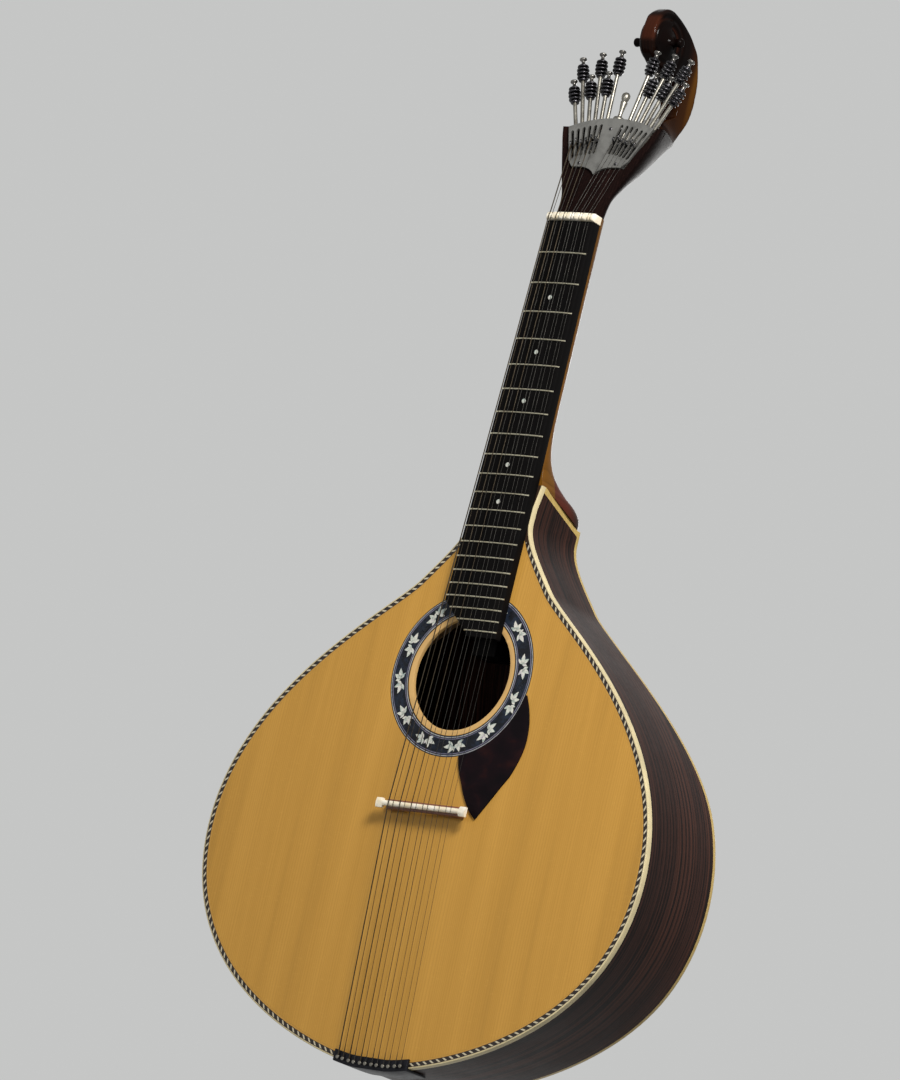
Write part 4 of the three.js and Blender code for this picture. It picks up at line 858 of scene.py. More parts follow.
def make_scroll_wood():
    """Scroll with an amber stem and red rim, black on the sides of the roll; painted shade darkens
    the rim above and below a red band just over the eye.
    """
    tree = Finish("Scroll wood", coat=0.07, coat_roughness=0.1, ior=1.05)
    lines, bands, fibre = tree.grain(tree.where(), 0.0028, 0.03)
    x, y, z = tree.split(tree.where())
    eye = NECK @ from_nut(0, *SCROLL_EYE)
    rise = z - eye.z
    side = tree.span(abs(x) + (bands - 0.5) * 0.003, 0.0052, 0.0078, smooth=True)
    roll = tree.span(tree.distance(rise, y - eye.y), 0.026, 0.042, 1.0, 0.0, smooth=True)
    base = tree.ramp(bands, (0.4, (0.007, 0.002, 0.001)), (0.52, (0.030, 0.010, 0.002)),
                     (0.68, shade(colours().amber, 1.6)))
    # Painted shade: the rim keeps its red-brown only in a band just above the eye and is darkened to
    # near black towards the top and bottom of the roll, where less light falls on its curve.
    ends = tree.span(abs(rise - 0.007), 0.007, 0.012, smooth=True)
    rim = tree.blend(ends, (0.038, 0.010, 0.005), (0.006, 0.0026, 0.002))
    reddened = tree.blend(roll * 0.95, base, rim)
    lined = tree.blend(lines * 0.5, reddened, (0.02, 0.006, 0.003))
    tree.surface(tree.blend(side * roll * 0.97, lined, shade(colours().umber, 0.2)), (0.2, 0.36),
                 lines - fibre, 0.05)


def make_ebony():
    """Satin ebony with a few brown streaks and closed pores."""
    tree = Finish("Ebony", ior=1.1)
    ebony = tuple(colours().ebony)
    _, bands, fibre = tree.grain(tree.where(), 0.0033, 0.008)
    base = tree.ramp(bands, (0.4, shade(ebony, 0.7)), (0.62, ebony),
                     (0.8, shade(ebony, 2.6, 2.0, 1.6)))
    tree.surface(tree.blend(tree.span(fibre, 0.55, 0.7) * 0.5, base, shade(ebony, 2.2)),
                 (0.36, 0.52), fibre, 0.12)


def make_guard():
    """Scratch plate of dark tortoise-coloured horn, polished."""
    tree = Finish("Scratch plate", ior=1.12)
    mottle = tree.ramp(tree.noise(tree.where(), 55.0, 3.0, 0.5, 0.6),
                       (0.35, (0.005, 0.0035, 0.0045)), (0.55, (0.008, 0.0042, 0.0055)),
                       (0.75, (0.022, 0.007, 0.0065)))
    tree.surface(mottle, (0.34, 0.5), tree.noise(tree.where(), 800.0, 2.0), 0.04)


def make_inlay():
    """Ground of the rosette: black between thin rings of grey and violet."""
    tree = Finish("Rosette ground", coat=0.04, coat_roughness=0.12, specular=0.15)
    share = tree.span(from_soundhole(tree), ROSETTE_INNER * MM, ROSETTE_OUTER * MM)
    black, grey, violet = (0.008, 0.009, 0.012), (0.36, 0.36, 0.36), (0.17, 0.16, 0.22)
    rings = tree.ramp(
        share, (0.0, black), (0.05, grey), (0.095, black), (0.135, violet), (0.175, black),
        (0.82, black), (0.83, violet), (0.87, black), (0.915, grey), (0.955, black),
        interpolation="CONSTANT")
    cloud = tree.noise(tree.where(), 160.0, 3.0)
    tree.surface(tree.blend(tree.span(cloud, 0.45, 0.65) * 0.5, rings, (0.020, 0.032, 0.058)),
                 (0.2, 0.4), cloud, 0.04)


def make_pearl():
    """Shell with soft changes of tint."""
    tree = Finish("Pearl", coat=0.6, coat_roughness=0.08)
    flow = tree.noise(tree.where(), 260.0, 3.0, 0.6, 1.2)
    tints = tree.ramp(flow, (0.30, (0.20, 0.27, 0.27)), (0.44, (0.46, 0.50, 0.44)),
                      (0.56, (0.66, 0.64, 0.56)), (0.70, (0.40, 0.36, 0.41)))
    tree.surface(tints, tree.span(flow, 0.3, 0.7, 0.16, 0.34), flow, 0.1)


def make_bone():
    """Polished bone with faint pores and a warmer tint in patches."""
    tree = Finish("Bone", coat=0.25, coat_roughness=0.15)
    bone = tuple(colours().bone)
    cloud = tree.noise(tree.where(), 130.0, 3.0)
    pores = tree.span(tree.noise(tree.stretch(tree.where(), (500, 2400, 2400)), 1.0, 2.0), 0.62,
                      0.75)
    base = tree.blend(tree.span(cloud, 0.35, 0.68), bone, shade(bone, 0.86, 0.78, 0.62))
    tree.surface(tree.blend(pores * 0.4, base, shade(bone, 0.5)), (0.28, 0.42), cloud, 0.05)


def make_bridge_wood():
    """Red-brown bridge foot with open grain across it."""
    tree = Finish("Bridge wood", coat=0.2, coat_roughness=0.2)
    turned_place = tree.stretch(tree.where(), turn=(0, math.radians(90), 0))
    lines, bands, fibre = tree.grain(turned_place, 0.0012, 0.004)
    base = tree.ramp(bands, (0.3, (0.10, 0.030, 0.014)), (0.5, (0.20, 0.070, 0.032)),
                     (0.7, (0.30, 0.12, 0.055)))
    tree.surface(tree.blend(lines * 0.6, base, (0.045, 0.014, 0.008)),
                 tree.span(fibre, 0.35, 0.7, 0.32, 0.5), fibre, 0.12)


def make_inner_wood():
    """Bare wood inside the body."""
    tree = Finish("Inner wood")
    lines, bands, fibre = tree.grain(tree.where(), 0.0018, 0.004)
    base = tree.ramp(bands, (0.3, (0.30, 0.17, 0.075)), (0.7, (0.50, 0.32, 0.16)))
    tree.surface(tree.blend(lines * 0.4, base, (0.2, 0.1, 0.04)),
                 tree.span(fibre, 0.3, 0.7, 0.6, 0.8), fibre, 0.2)


def make_metal(name, bright, dark, clean, touched, relief=0.0, metallic=1.0):
    """Metal with cloudy tarnish and fine scratches."""
    tree = Finish(name, metallic=metallic)
    place = tree.where()
    scratched = tree.stretch(place, (260, 2000, 160), (0, math.radians(32), 0))
    strokes = tree.noise(scratched, 1.0, 2.0)
    tarnish = tree.span(tree.noise(place, 95.0, 4.0, 0.6), 0.42, 0.68)
    rough = tree.handled(clean, touched) + tree.span(strokes, 0.4, 0.7, -0.04, 0.07)
    tree.surface(tree.blend(tarnish, bright, dark), rough, strokes, relief)


def make_cord_steel(name, bright, wound):
    """String steel, with the winding's rings where it is wound."""
    tree = Finish(name, metallic=0.9)
    along = tree.split(tree.chart())[0]
    rings = abs((along / 0.00045).maths("FRACT") - 0.5)
    stain = tree.noise(tree.join(along * 60.0, 0.0, 0.0), 1.0, 3.0)
    base = tree.blend(tree.span(stain, 0.35, 0.7), bright, shade(bright, 0.6))
    dip = tree.span(rings, 0.3, 0.5, 0.0, wound)
    tree.surface(tree.blend(dip, base, shade(bright, 0.25)), tree.span(stain, 0.3, 0.7, 0.35, 0.5))


def make_materials():
    for make in (make_groups, make_spruce, make_edge, make_golden, make_neck_wood, make_head_wood,
                 make_scroll_wood, make_ebony, make_guard, make_inlay, make_pearl, make_bone,
                 make_bridge_wood, make_inner_wood):
        make()
    make_rosewood("Rosewood sides", True)
    make_rosewood("Rosewood", False)
    nickel = tuple(colours().nickel)
    make_metal("Nickel plate", nickel, shade(nickel, 0.62), 0.34, 0.52, 0.04, 0.75)
    make_metal("Nickel rod", (0.27, 0.255, 0.22), (0.15, 0.14, 0.12), 0.32, 0.46)
    make_metal("Dark knob", (0.055, 0.053, 0.057), (0.022, 0.021, 0.024), 0.24, 0.34)
    make_metal("Knob tip", (0.17, 0.163, 0.15), (0.075, 0.07, 0.066), 0.24, 0.34)
    make_metal("Hook steel", (0.10, 0.098, 0.10), (0.03, 0.03, 0.032), 0.25, 0.4)
    make_metal("Black metal", (0.016, 0.016, 0.02), (0.007, 0.007, 0.009), 0.3, 0.46, 0.03, 0.8)
    make_metal("Fret wire", (0.74, 0.69, 0.52), (0.54, 0.48, 0.34), 0.26, 0.42)
    make_cord_steel("Plain string", (0.04, 0.038, 0.034), 0.0)
    make_cord_steel("Wound string", (0.048, 0.037, 0.024), 0.3)


def dress(finish, *nodes):
    """Gives nodes of the frame a finish."""
    for node in nodes:
        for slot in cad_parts[node].material_slots:
            slot.material = bpy.data.materials[finish]


# Body

def both_halves(rings):
    """Rings of the treble half carried round the tail to the bass half."""
    mirrored = [[Vector((-p.x, p.y, p.z)) for p in ring] for ring in rings]
    return mirrored[::-1] + rings


def plate_outline(distance, end):
    """Closed outline of a plate, as pairs of x and z."""
    half = [p for p in inset(half_outline(), distance) if p.y <= end]
    if half[-1].y < end:
        half.append(Vector((half[-1].x, end)))
    return [(p.x, p.y) for p in half] + [(-p.x, p.y) for p in reversed(half)]


def arch(bm, surface, heights):
    """Cuts a flat plate across at heights and bends it to a surface."""
    for height in heights:
        bmesh.ops.bisect_plane(bm, geom=everything(bm), dist=1e-5, plane_co=(0, 0, height),
                               plane_no=(0, 0, 1))
    for vert in bm.verts:
        vert.co.y += surface(vert.co.z)


def circle_places(radius, depth):
    """A ring about the soundhole's middle."""
    turns = [math.tau * i / SOUNDHOLE_STEPS for i in range(SOUNDHOLE_STEPS)]
    return [Vector((radius * math.cos(turn), depth, SOUNDHOLE_HEIGHT + radius * math.sin(turn)))
            for turn in turns]


def fill_between(bm, *loops):
    edges = [edge for loop in loops for edge in ring_edges(bm, loop)]
    bmesh.ops.triangle_fill(bm, edges=edges, use_beauty=True, use_dissolve=False)


def build_top():
    """Arched soundboard with its hole and the groove of the rosette."""
    bm = bmesh.new()
    outline = plate_outline(EDGE_WIDTH + FIT, BODY_LENGTH)
    outer, inner = ROSETTE_OUTER + GAP * 0.3, ROSETTE_INNER - GAP * 0.3
    groove = ROSETTE_DEPTH + GAP
    edge = loop_of(bm, laid(outline, 0))
    ring = loop_of(bm, circle_places(outer, 0))
    fill_between(bm, edge, ring)
    for radius, depth in (
        (outer, groove), (inner, groove), (inner, 0), (SOUNDHOLE_RADIUS + 0.5, 0),
        (SOUNDHOLE_RADIUS + 0.15, 0.15), (SOUNDHOLE_RADIUS, 0.5), (SOUNDHOLE_RADIUS, PLATE),
    ):
        ring = carry(bm, ring, circle_places(radius, depth))
    behind = carry(bm, edge, laid(outline, PLATE))
    fill_between(bm, behind, ring)
    arch(bm, front_y, range(6, BODY_LENGTH, CUT_STEP))
    publish("top", bm, BODY, "Spruce", "soundboard")


def rosette_y(height):
    return front_y(height) - 0.05


def leaf(bm, root, direction, size, width):
    """One pointed leaf of shell, as a thin raised facet."""
    side = Vector((-direction.y, direction.x))
    slab(bm, [root + direction * (size * along) + side * (width / 2 * across)
              for along, across in LEAF_SHARES], -0.12, 0.3)


def build_rosette():
    """Black ring with sprays of shell leaves."""
    bm = bmesh.new()
    width = ROSETTE_OUTER - ROSETTE_INNER
    profile = [(0, 0), (width, 0), (width, ROSETTE_DEPTH), (0, ROSETTE_DEPTH)]
    verts = loop_of(bm, [Vector((ROSETTE_INNER + a, d, SOUNDHOLE_HEIGHT)) for a, d in profile])
    revolve(bm, verts, ring_edges(bm, verts), 144, (0, 0, SOUNDHOLE_HEIGHT), (0, 1, 0))
    arch(bm, rosette_y, ())
    publish("rosette_ring", bm, BODY, "Rosette ground", "rosette")

    bm = bmesh.new()
    middle = (ROSETTE_INNER + ROSETTE_OUTER) / 2
    count = sizes().leaf_sprays
    for k in range(count):
        for way, lift, wide_turn in ((1, -1.6, 12 * math.sin(2.3 * k)), (-1, -0.4, -8)):
            turn = math.tau * (k + 0.35) / count + way * 4.2 / middle
            out = Vector((math.cos(turn), math.sin(turn)))
            along = Vector((-out.y, out.x)) * way
            base = Vector((0, SOUNDHOLE_HEIGHT)) + out * (middle + lift) - along * 2.2
            for degrees, size, wide in LEAVES:
                angle = math.radians(degrees + wide_turn)
                leaf(bm, base, along * math.cos(angle) + out * math.sin(angle), size, wide)
    arch(bm, rosette_y, ())
    publish("rosette_leaves", bm, BODY, "Pearl", None)


def build_guard():
    """Leaf-shaped scratch plate from the rosette down to its tip."""
    radius = ROSETTE_OUTER + GAP
    arc = []
    for i in range(25):
        turn = math.radians(mix(-10.1, -75.1, i / 24))
        arc.append(Vector((radius * math.cos(turn), SOUNDHOLE_HEIGHT + radius * math.sin(turn))))
    inner, outer = ([Vector((GUARD_REACH * a, SOUNDHOLE_HEIGHT - GUARD_DROP * b))
                     for a, b in shares] for shares in (GUARD_INNER, GUARD_OUTER))
    outline = arc + catmull([arc[-1]] + inner, 6)[1:] + catmull([inner[-1]] + outer, 6)[1:]
    bm = bmesh.new()
    front = slab(bm, outline, -1.25, -0.1)
    soften(bm, 0.35, edges=ring_edges(bm, front))
    bmesh.ops.triangulate(bm, faces=[face for face in bm.faces if len(face.verts) > 4])
    arch(bm, front_y, range(180, 285, CUT_STEP))
    publish("guard_leaf", bm, BODY, "Scratch plate", "scratch_plate")


def edge_rings(side_depth, inwards, end, surface):
    """Rings of a body edge from its outer foot over the face and down to the side's top."""
    outline = half_outline()
    profile = ((0, side_depth), (0, 0.5), (0.16, 0.16), (0.5, 0), (2.2, 0), (4, 0),
               (EDGE_WIDTH, 0), (EDGE_WIDTH, PLATE), (RIB, PLATE), (RIB, side_depth))
    rings = []
    for here, beside in zip(outline, inset(outline, EDGE_WIDTH)):
        if here.y > end:
            continue
        across = (beside - here) / EDGE_WIDTH
        ring = []
        for distance, depth in profile:
            x, z = here.x + across.x * distance, here.y + across.y * distance
            ring.append(Vector((x, surface(z) + depth * inwards, z)))
        rings.append(ring)
    return both_halves(rings)


def build_edges():
    """Roped edge of the soundboard and plain edge of the back."""
    bm = bmesh.new()
    skin(bm, edge_rings(EDGE_SIDE, 1, BODY_LENGTH, front_y), charted=True)
    publish("top_edge", bm, BODY, "Roped edge", "top_binding")
    bm = bmesh.new()
    skin(bm, edge_rings(PLATE + GAP, -1, BODY_LENGTH - HEEL_SET_BACK, back_y))
    publish("back_edge", bm, BODY, "Golden edge", "back_binding")


def side_ring(outer, inner):
    """One ring of a side, each line from the soundboard to the back as pairs of x and height."""
    steps = 10
    ring = []
    for (front_end, back_end), order in (
        (outer, range(steps + 1)), (inner, range(steps, -1, -1)),
    ):
        front = front_y(front_end.y) + EDGE_SIDE + FIT
        back = back_y(back_end.y) - PLATE - GAP * 1.2
        for k in order:
            place = front_end.lerp(back_end, k / steps)
            ring.append(Vector((place.x, mix(front, back, k / steps), place.y)))
    return ring


def side_rings():
    """Rings of the treble side up to the strip and of the strip itself."""
    strip = sizes().heel_strip / MM
    outline = half_outline()
    stations = [side_ring((here, here), (beside, beside))
                for here, beside in zip(outline[:-2], inset(outline, RIB)[:-2])]
    top, foot, start = outline[-1], outline[-2], outline[-3]
    thickness = Vector((RIB, 0))

    def slanted(front_share, back_share):
        front_end = Vector((mix(start.x, top.x, front_share ** HEEL_CURVE),
                            mix(start.y, top.y, front_share)))
        back_end = start.lerp(foot, back_share)
        return side_ring((front_end, back_end), (front_end - thickness, back_end - thickness))

    front_stop = 1 - strip / (top.y - start.y)
    back_stop = 1 - strip / (foot.y - start.y)
    for k in range(1, 6):
        stations.append(slanted(front_stop * k / 5, back_stop * k / 5))
    return stations, [slanted(front_stop, back_stop),
                      slanted(mix(front_stop, 1, 0.5), mix(back_stop, 1, 0.5)), slanted(1, 1)]


def build_sides():
    """The two bent sides, cut off on the slope of the heel."""
    rings, strip = side_rings()
    for name, side in (("treble", 1), ("bass", -1)):
        for label, source, finish, node, slot in (
            ("side", rings, "Rosewood sides", f"rib_{name}", "rosewood"),
            ("heel_strip", strip, "Golden edge", None, "binding"),
        ):
            bm = bmesh.new()
            skin(bm, [[Vector((p.x * side, p.y, p.z)) for p in ring] for ring in source],
                 charted=label == "side")
            publish(f"{label}_{name}", bm, BODY, finish, node, sharp=50)


def build_back():
    """Back plate, flat over the bout and drawn in towards the neck."""
    bm = bmesh.new()
    end = BODY_LENGTH - HEEL_SET_BACK
    outline = plate_outline(EDGE_WIDTH + FIT, end)
    front = loop_of(bm, laid(outline, -PLATE))
    fill_between(bm, front)
    fill_between(bm, carry(bm, front, laid(outline, 0)))
    arch(bm, back_y, range(6, end, CUT_STEP))
    publish("back", bm, BODY, "Rosewood", "back_plate")


# Bridge and tail

def build_bridge():
    """Brown foot with an arch under it, and the bone saddle with wider ends."""
    bm = bmesh.new()
    top, seat, half = BRIDGE_SEAT - 7.3, BRIDGE_SEAT, BRIDGE_HALF_LENGTH
    outline = [(-half, seat), (-half, top + 1.2), (1.2 - half, top), (half - 1.2, top),
               (half, top + 1.2), (half, seat), (23, seat)]
    for i in range(1, 20):
        turn = math.pi * i / 20
        outline.append((21 * math.cos(turn), seat - 4.6 * math.sin(turn)))
    outline.append((-23, seat))
    slab(bm, outline, -BRIDGE_HALF_THICKNESS, BRIDGE_HALF_THICKNESS, axis=2)
    soften(bm, 0.5)
    place = BODY @ Matrix.Translation((0, 0, BRIDGE_HEIGHT))
    publish("bridge_base", bm, place, "Bridge wood", "bridge_foot")

    bm = bmesh.new()
    crest, foot = SADDLE_CREST, BRIDGE_SEAT - 7.35
    strings = sorted(across_strings(i, BRIDGE_SPACING) for i in range(12))
    xs = [-SADDLE_REACH, -SADDLE_HORN - 0.4, -SADDLE_HORN + 0.4]
    for x in strings:
        xs += [x - 0.7, x, x + 0.7]
    xs += [SADDLE_HORN - 0.4, SADDLE_HORN + 0.4, SADDLE_REACH]
    stations = []
    for x in xs:
        half = BRIDGE_HALF_THICKNESS if abs(x) > SADDLE_HORN else 1.8
        notch = 0.06 if any(abs(x - s) < 1e-6 for s in strings) else 0
        lift = notch if abs(x) < SADDLE_HORN else 0.2
        brow = crest + lift + 0.2
        profile = ((foot, -half), (crest + 1.0, -half), (brow, -half * 0.55), (crest + lift, 0),
                   (brow, half * 0.55), (crest + 1.0, half), (foot, half))
        stations.append(laid(profile, x, 0))
    skin(bm, stations)
    publish("bridge_bone", bm, place, "Bone", "bridge_saddle", sharp=40)


def outline_height(x):
    """Height of the tail's outline at a distance from the middle."""
    if abs(x) <= TAIL_HALF_WIDTH:
        return 0
    points = half_outline()
    for low, high in zip(points, points[1:]):
        if high.x >= abs(x):
            return mix(low.y, high.y, (abs(x) - low.x) / (high.x - low.x))
    return 0


def build_tail():
    """Black angle over the tail with a pin for each string."""
    bm = bmesh.new()
    rings = []
    for i in range(45):
        x = mix(-TAIL_HALF_LENGTH, TAIL_HALF_LENGTH, i / 44)
        edge = outline_height(x)
        under, lip = edge - GAP, edge + TAIL_LIP
        top, outside = front_y(lip) - GAP, under - TAIL_WALL
        rings.append(laid((
            (top, under), (top, lip), (top - TAIL_THICKNESS, lip),
            (top - TAIL_THICKNESS, outside), (TAIL_SKIRT, outside), (TAIL_SKIRT, under)), x, 0))
    skin(bm, rings)
    soften(bm, 0.55)
    publish("tail_angle", bm, BODY, "Black metal", "tailpiece")
    bm = bmesh.new()
    profile = ((0, -1), (0.75, -1), (0.75, 1.5), (1.2, 1.7), (1.35, 2.1), (1.1, 2.5), (0, 2.65))
    for i in range(12):
        x = across_strings(i, TAIL_SPACING)
        z = outline_height(x) + PIN_HEIGHT
        add_into(bm, turned(profile, 16), upright((x, front_y(z) - 2.6, z)))
    publish("tail_pins", bm, BODY, "Nickel rod", None)


# Neck

def neck_section(front, keel, half, power, flat=0.0):
    """A section of the neck, from pairs of height up the neck and depth."""
    steps = 16
    right = []
    for i in range(steps + 1):
        turn = math.pi / 2 * i / steps
        down = math.sin(turn) ** (2 / power)
        out = 0 if i == steps else math.cos(turn) ** (2 / power)
        right.append((flat + (half - flat) * out, mix(front[0], keel[0], down),
                      mix(front[1], keel[1], down)))
    shared = right if flat > 0 else right[:-1]
    places = right + [(-x, y, z) for x, y, z in reversed(shared)]
    return [from_nut(*place) for place in places]


def board_half(y):
    return NUT_HALF_WIDTH - BOARD_TAPER * y


def build_neck():
    """Neck with its heel cut to the sloping end of the sides, and the end of its foot."""
    stations = []
    for front, keel, depth, width, power in HEEL_SHARES:
        stations.append(Vector((
            mix(HEEL_FRONT, HEEL_TOP, front), mix(HEEL_KEEL, HEEL_TOP, keel),
            mix(-NECK_DEPTH, HEEL_DEPTH, depth), JOINT_HALF_WIDTH * width, power)))
    for y in (HEEL_TOP, -109, -71, -32, NUT_THICKNESS):
        stations.append(Vector((y, y, -NECK_DEPTH, board_half(min(y, 0)) - 0.5, 2.1)))
    bm = bmesh.new()
    skin(bm, [neck_section((s[0], NECK_TOP), (s[1], s[2]), s[3], min(max(s[4], 2), 8))
              for s in catmull(stations, 5)])
    soften(bm, 1.2, angle=60, segments=3)
    end, slope = BODY_LENGTH + FIT, BODY_LENGTH - HEEL_SET_BACK + FIT
    inner_front = front_y(BODY_LENGTH) + PLATE + GAP
    inner_back = back_y(BODY_LENGTH - HEEL_SET_BACK) - PLATE - GAP
    outline = [(-4, end), (inner_front, end), (inner_back, slope), (70, slope), (70, 350),
               (-4, 350)]
    tool = bmesh.new()
    slab(tool, outline, -60, 60, axis=0)
    bmesh.ops.transform(tool, matrix=INTO_NECK @ BODY, verts=tool.verts)
    publish("neck_shaft", carved(bm, tool), NECK, "Neck wood", "neck")
    bm = bmesh.new()
    box(bm, (-10.5, 14, 306), (10.5, 36, 400))
    soften(bm, 0.8)
    publish("neck_root", bm, BODY, "Ebony", None)


def soundboard_from_nut(y):
    beyond = min(y + NECK_LENGTH, 0)
    return -JOINT_DROP + beyond * math.tan(NECK_LEAN) - front_y(BODY_LENGTH + beyond)


def fret_place(number):
    return -SCALE_LENGTH * (1 - 2 ** (-number / 12))


def slant_left(y):
    """Bass end of the board or of a fret at a height."""
    if y > SLANT_TOP:
        return -board_half(y)
    return max(mix(SLANT_LEFT, SLANT_RIGHT, (SLANT_TOP - y) / (SLANT_TOP - BOARD_END)),
               -board_half(y))


def board_top(x, y):
    share = x / board_half(y)
    return BOARD_CAMBER * (1 - share * share) - 0.9


def build_board():
    """Cambered ebony board with its slanted end."""
    heights = [-GAP] + [-6 * k for k in range(1, 33)] + [-NECK_LENGTH, -NECK_LENGTH - GAP]
    heights += [-204 - 6 * k for k in range(19)] + [BOARD_END]
    bm = bmesh.new()
    rings = []
    for y in heights:
        half = board_half(y)
        under = soundboard_from_nut(y) + 0.05 if y < -NECK_LENGTH else -BOARD_EDGE - 0.2
        ring = [from_nut(half, y, under), from_nut(-half, y, under)]
        for k in range(17):
            x = half * (k / 8 - 1) * (0.985 if k in (0, 16) else 1)
            ring.append(from_nut(x, y, board_top(x, y) - (0.25 if k in (0, 16) else 0)))
        rings.append(ring)
    skin(bm, rings)
    across = Vector((SLANT_RIGHT - SLANT_LEFT, 0, BOARD_END - SLANT_TOP)).normalized()
    cut = bmesh.ops.bisect_plane(
        bm, geom=everything(bm), dist=1e-5, plane_co=(SLANT_RIGHT, 0, BOARD_END),
        plane_no=(across.z, 0, -across.x), clear_outer=True)["geom_cut"]
    bmesh.ops.edgeloop_fill(bm, edges=[
        item for item in cut if isinstance(item, bmesh.types.BMEdge)])
    soften(bm, 0.4, angle=70)
    publish("board", bm, NECK, "Ebony", "fingerboard")


def build_frets():
    """Fret wires with rounded ends, and the shell dots."""
    rise = sizes().fret_height / MM + FRET_SUNK
    bm = bmesh.new()
    for number in range(1, sizes().fret_count + 1):
        y = fret_place(number)
        stations = []
        for k in range(13):
            x = mix(slant_left(y) + 0.5, board_half(y) - 0.35, k / 12)
            x += 0.45 if k == 1 else 0
            end = 0.35 if k in (0, 12) else 1
            turns = [math.pi * i / 8 for i in range(9)]
            base = board_top(x, y) - FRET_SUNK
            stations.append([from_nut(x, y + FRET_HALF_WIDTH * math.cos(turn),
                                      base + rise * math.sin(turn) * end) for turn in turns])
        skin(bm, stations)
    publish("fret_wires", bm, NECK, "Fret wire", None, sharp=50)

    radius = sizes().dot_radius / MM
    profile = ((0, -0.4), (radius, -0.4), (radius, 0.02), (radius - 0.2, 0.06), (0, 0.06))
    bm = bmesh.new()
    for space in DOT_SPACES:
        y = (fret_place(space) + fret_place(space - 1)) / 2
        add_into(bm, turned(profile, 24), upright(from_nut(0, y, board_top(0, y))))
    publish("board_dots", bm, NECK, "Pearl", None)


def build_nut():
    """Bone nut with a slot for each string."""
    half, base = NUT_HALF_WIDTH + 0.2, NECK_TOP + GAP
    strings = sorted(across_strings(i, NUT_SPACING) for i in range(12))
    xs = [-half, -half + 0.5]
    for x in strings:
        xs += [x - 0.45, x - 0.1, x + 0.1, x + 0.45]
    xs += [half - 0.5, half]
    rings = []
    for x in xs:
        share = x / half
        crown = NUT_RISE + BOARD_CAMBER * (1 - share * share)
        crown += 0.15 if any(abs(x - s) < 0.2 for s in strings) else 0.55
        if abs(x) == half:
            crown -= 0.6
        rings.append([from_nut(x, y, z) for y, z in (
            (0, base), (0, crown - 1.3), (0.7, crown - 0.4), (2, crown), (3.6, crown - 0.15),
            (5.1, crown - 0.7), (5.8, crown - 1.6), (5.8, base))])
    bm = bmesh.new()
    skin(bm, rings)
    publish("nut_bone", bm, NECK, "Bone", "nut", sharp=40)


# Head

def head_face(y):
    return -HEAD_DROP - (FAN_PLATE + GAP) / math.cos(HEAD_LEAN) - y * math.tan(HEAD_LEAN)


def sector(inner, outer, half_angle):
    """Outline of a piece of the fan in x and z."""
    points = []
    for radius, start in ((outer, -half_angle), (inner, half_angle)):
        for i in range(25):
            turn = mix(start, -start, i / 24)
            points.append((radius * math.sin(turn), radius * math.cos(turn)))
    return points


def build_head():
    """Head that widens to the fan, with the hollow for the screws."""
    rings = []
    for s in catmull([Vector(share) for share in HEAD_SHARES], 4):
        y = HEAD_LENGTH * s[0]
        rings.append(neck_section(
            (y, head_face(y)), (HEAD_KEEL_LENGTH * s[1], -HEAD_KEEL_DEPTH * s[2]),
            HEAD_HALF_WIDTH * s[3], s[4], SCROLL_HALF_WIDTH * s[5]))
    bm = bmesh.new()
    skin(bm, rings)
    tool = bmesh.new()
    slab(tool, sector(RECESS_START, RAIL_RADIUS + 4, FAN_HALF_ANGLE + 0.01), -4, RECESS_DEPTH)
    bmesh.ops.transform(tool, matrix=INTO_NECK @ FAN, verts=tool.verts)
    publish("head_wood", carved(bm, tool), NECK, "Head wood", "head_block")


def about_eye(degrees, share):
    turn, radius = math.radians(degrees), SCROLL_RADIUS * share
    return Vector((SCROLL_EYE[0] + radius * math.sin(turn),
                   SCROLL_EYE[1] + radius * math.cos(turn)))


def scroll_blank():
    """Roll and stem with round shoulders, their root in the head and the boss at the eye."""
    bm = bmesh.new()
    edge = catmull([about_eye(*share) for share in BACK_SHARES], 5)
    edge += catmull([about_eye(*share) for share in STEM_SHARES], 5)
    rings = []
    for x, depth in [(-x, d) for x, d in SHOULDER] + list(reversed(SHOULDER)):
        ring = []
        for i, here in enumerate(edge):
            along = (edge[(i + 1) % len(edge)] - edge[i - 1]).normalized()
            along *= 1 - smoothstep((here - Vector(SCROLL_EYE)).length, 25, 42)
            ring.append(from_nut(x, here.x + along.y * depth, here.y - along.x * depth))
        rings.append(ring)
    skin(bm, rings)
    root = bmesh.new()
    recess = RECESS_DEPTH / math.cos(HEAD_LEAN) + GAP
    front_foot = Vector((HEAD_LENGTH + 4, head_face(HEAD_LENGTH) - recess))
    keel_foot = Vector((HEAD_KEEL_LENGTH + GAP, -HEAD_KEEL_DEPTH))
    front_end, keel_end = about_eye(*STEM_SHARES[1]), about_eye(*BACK_SHARES[-3])
    skin(root, [neck_section(tuple(front_foot + (front_end - front_foot) * way),
                             tuple(keel_foot + (keel_end - keel_foot) * way), 34 * width, 1.1,
                             SCROLL_HALF_WIDTH - GAP)
                for way, width in catmull([Vector(s) for s in ROOT_SHARES], 4)])
    add_into(bm, root)
    profile = [(r, -x) for r, x in EYE_BOSS] + [(r, x) for r, x in reversed(EYE_BOSS)]
    add_into(bm, turned(profile, 40), upright(from_nut(0, *SCROLL_EYE), "Y"))
    return bm


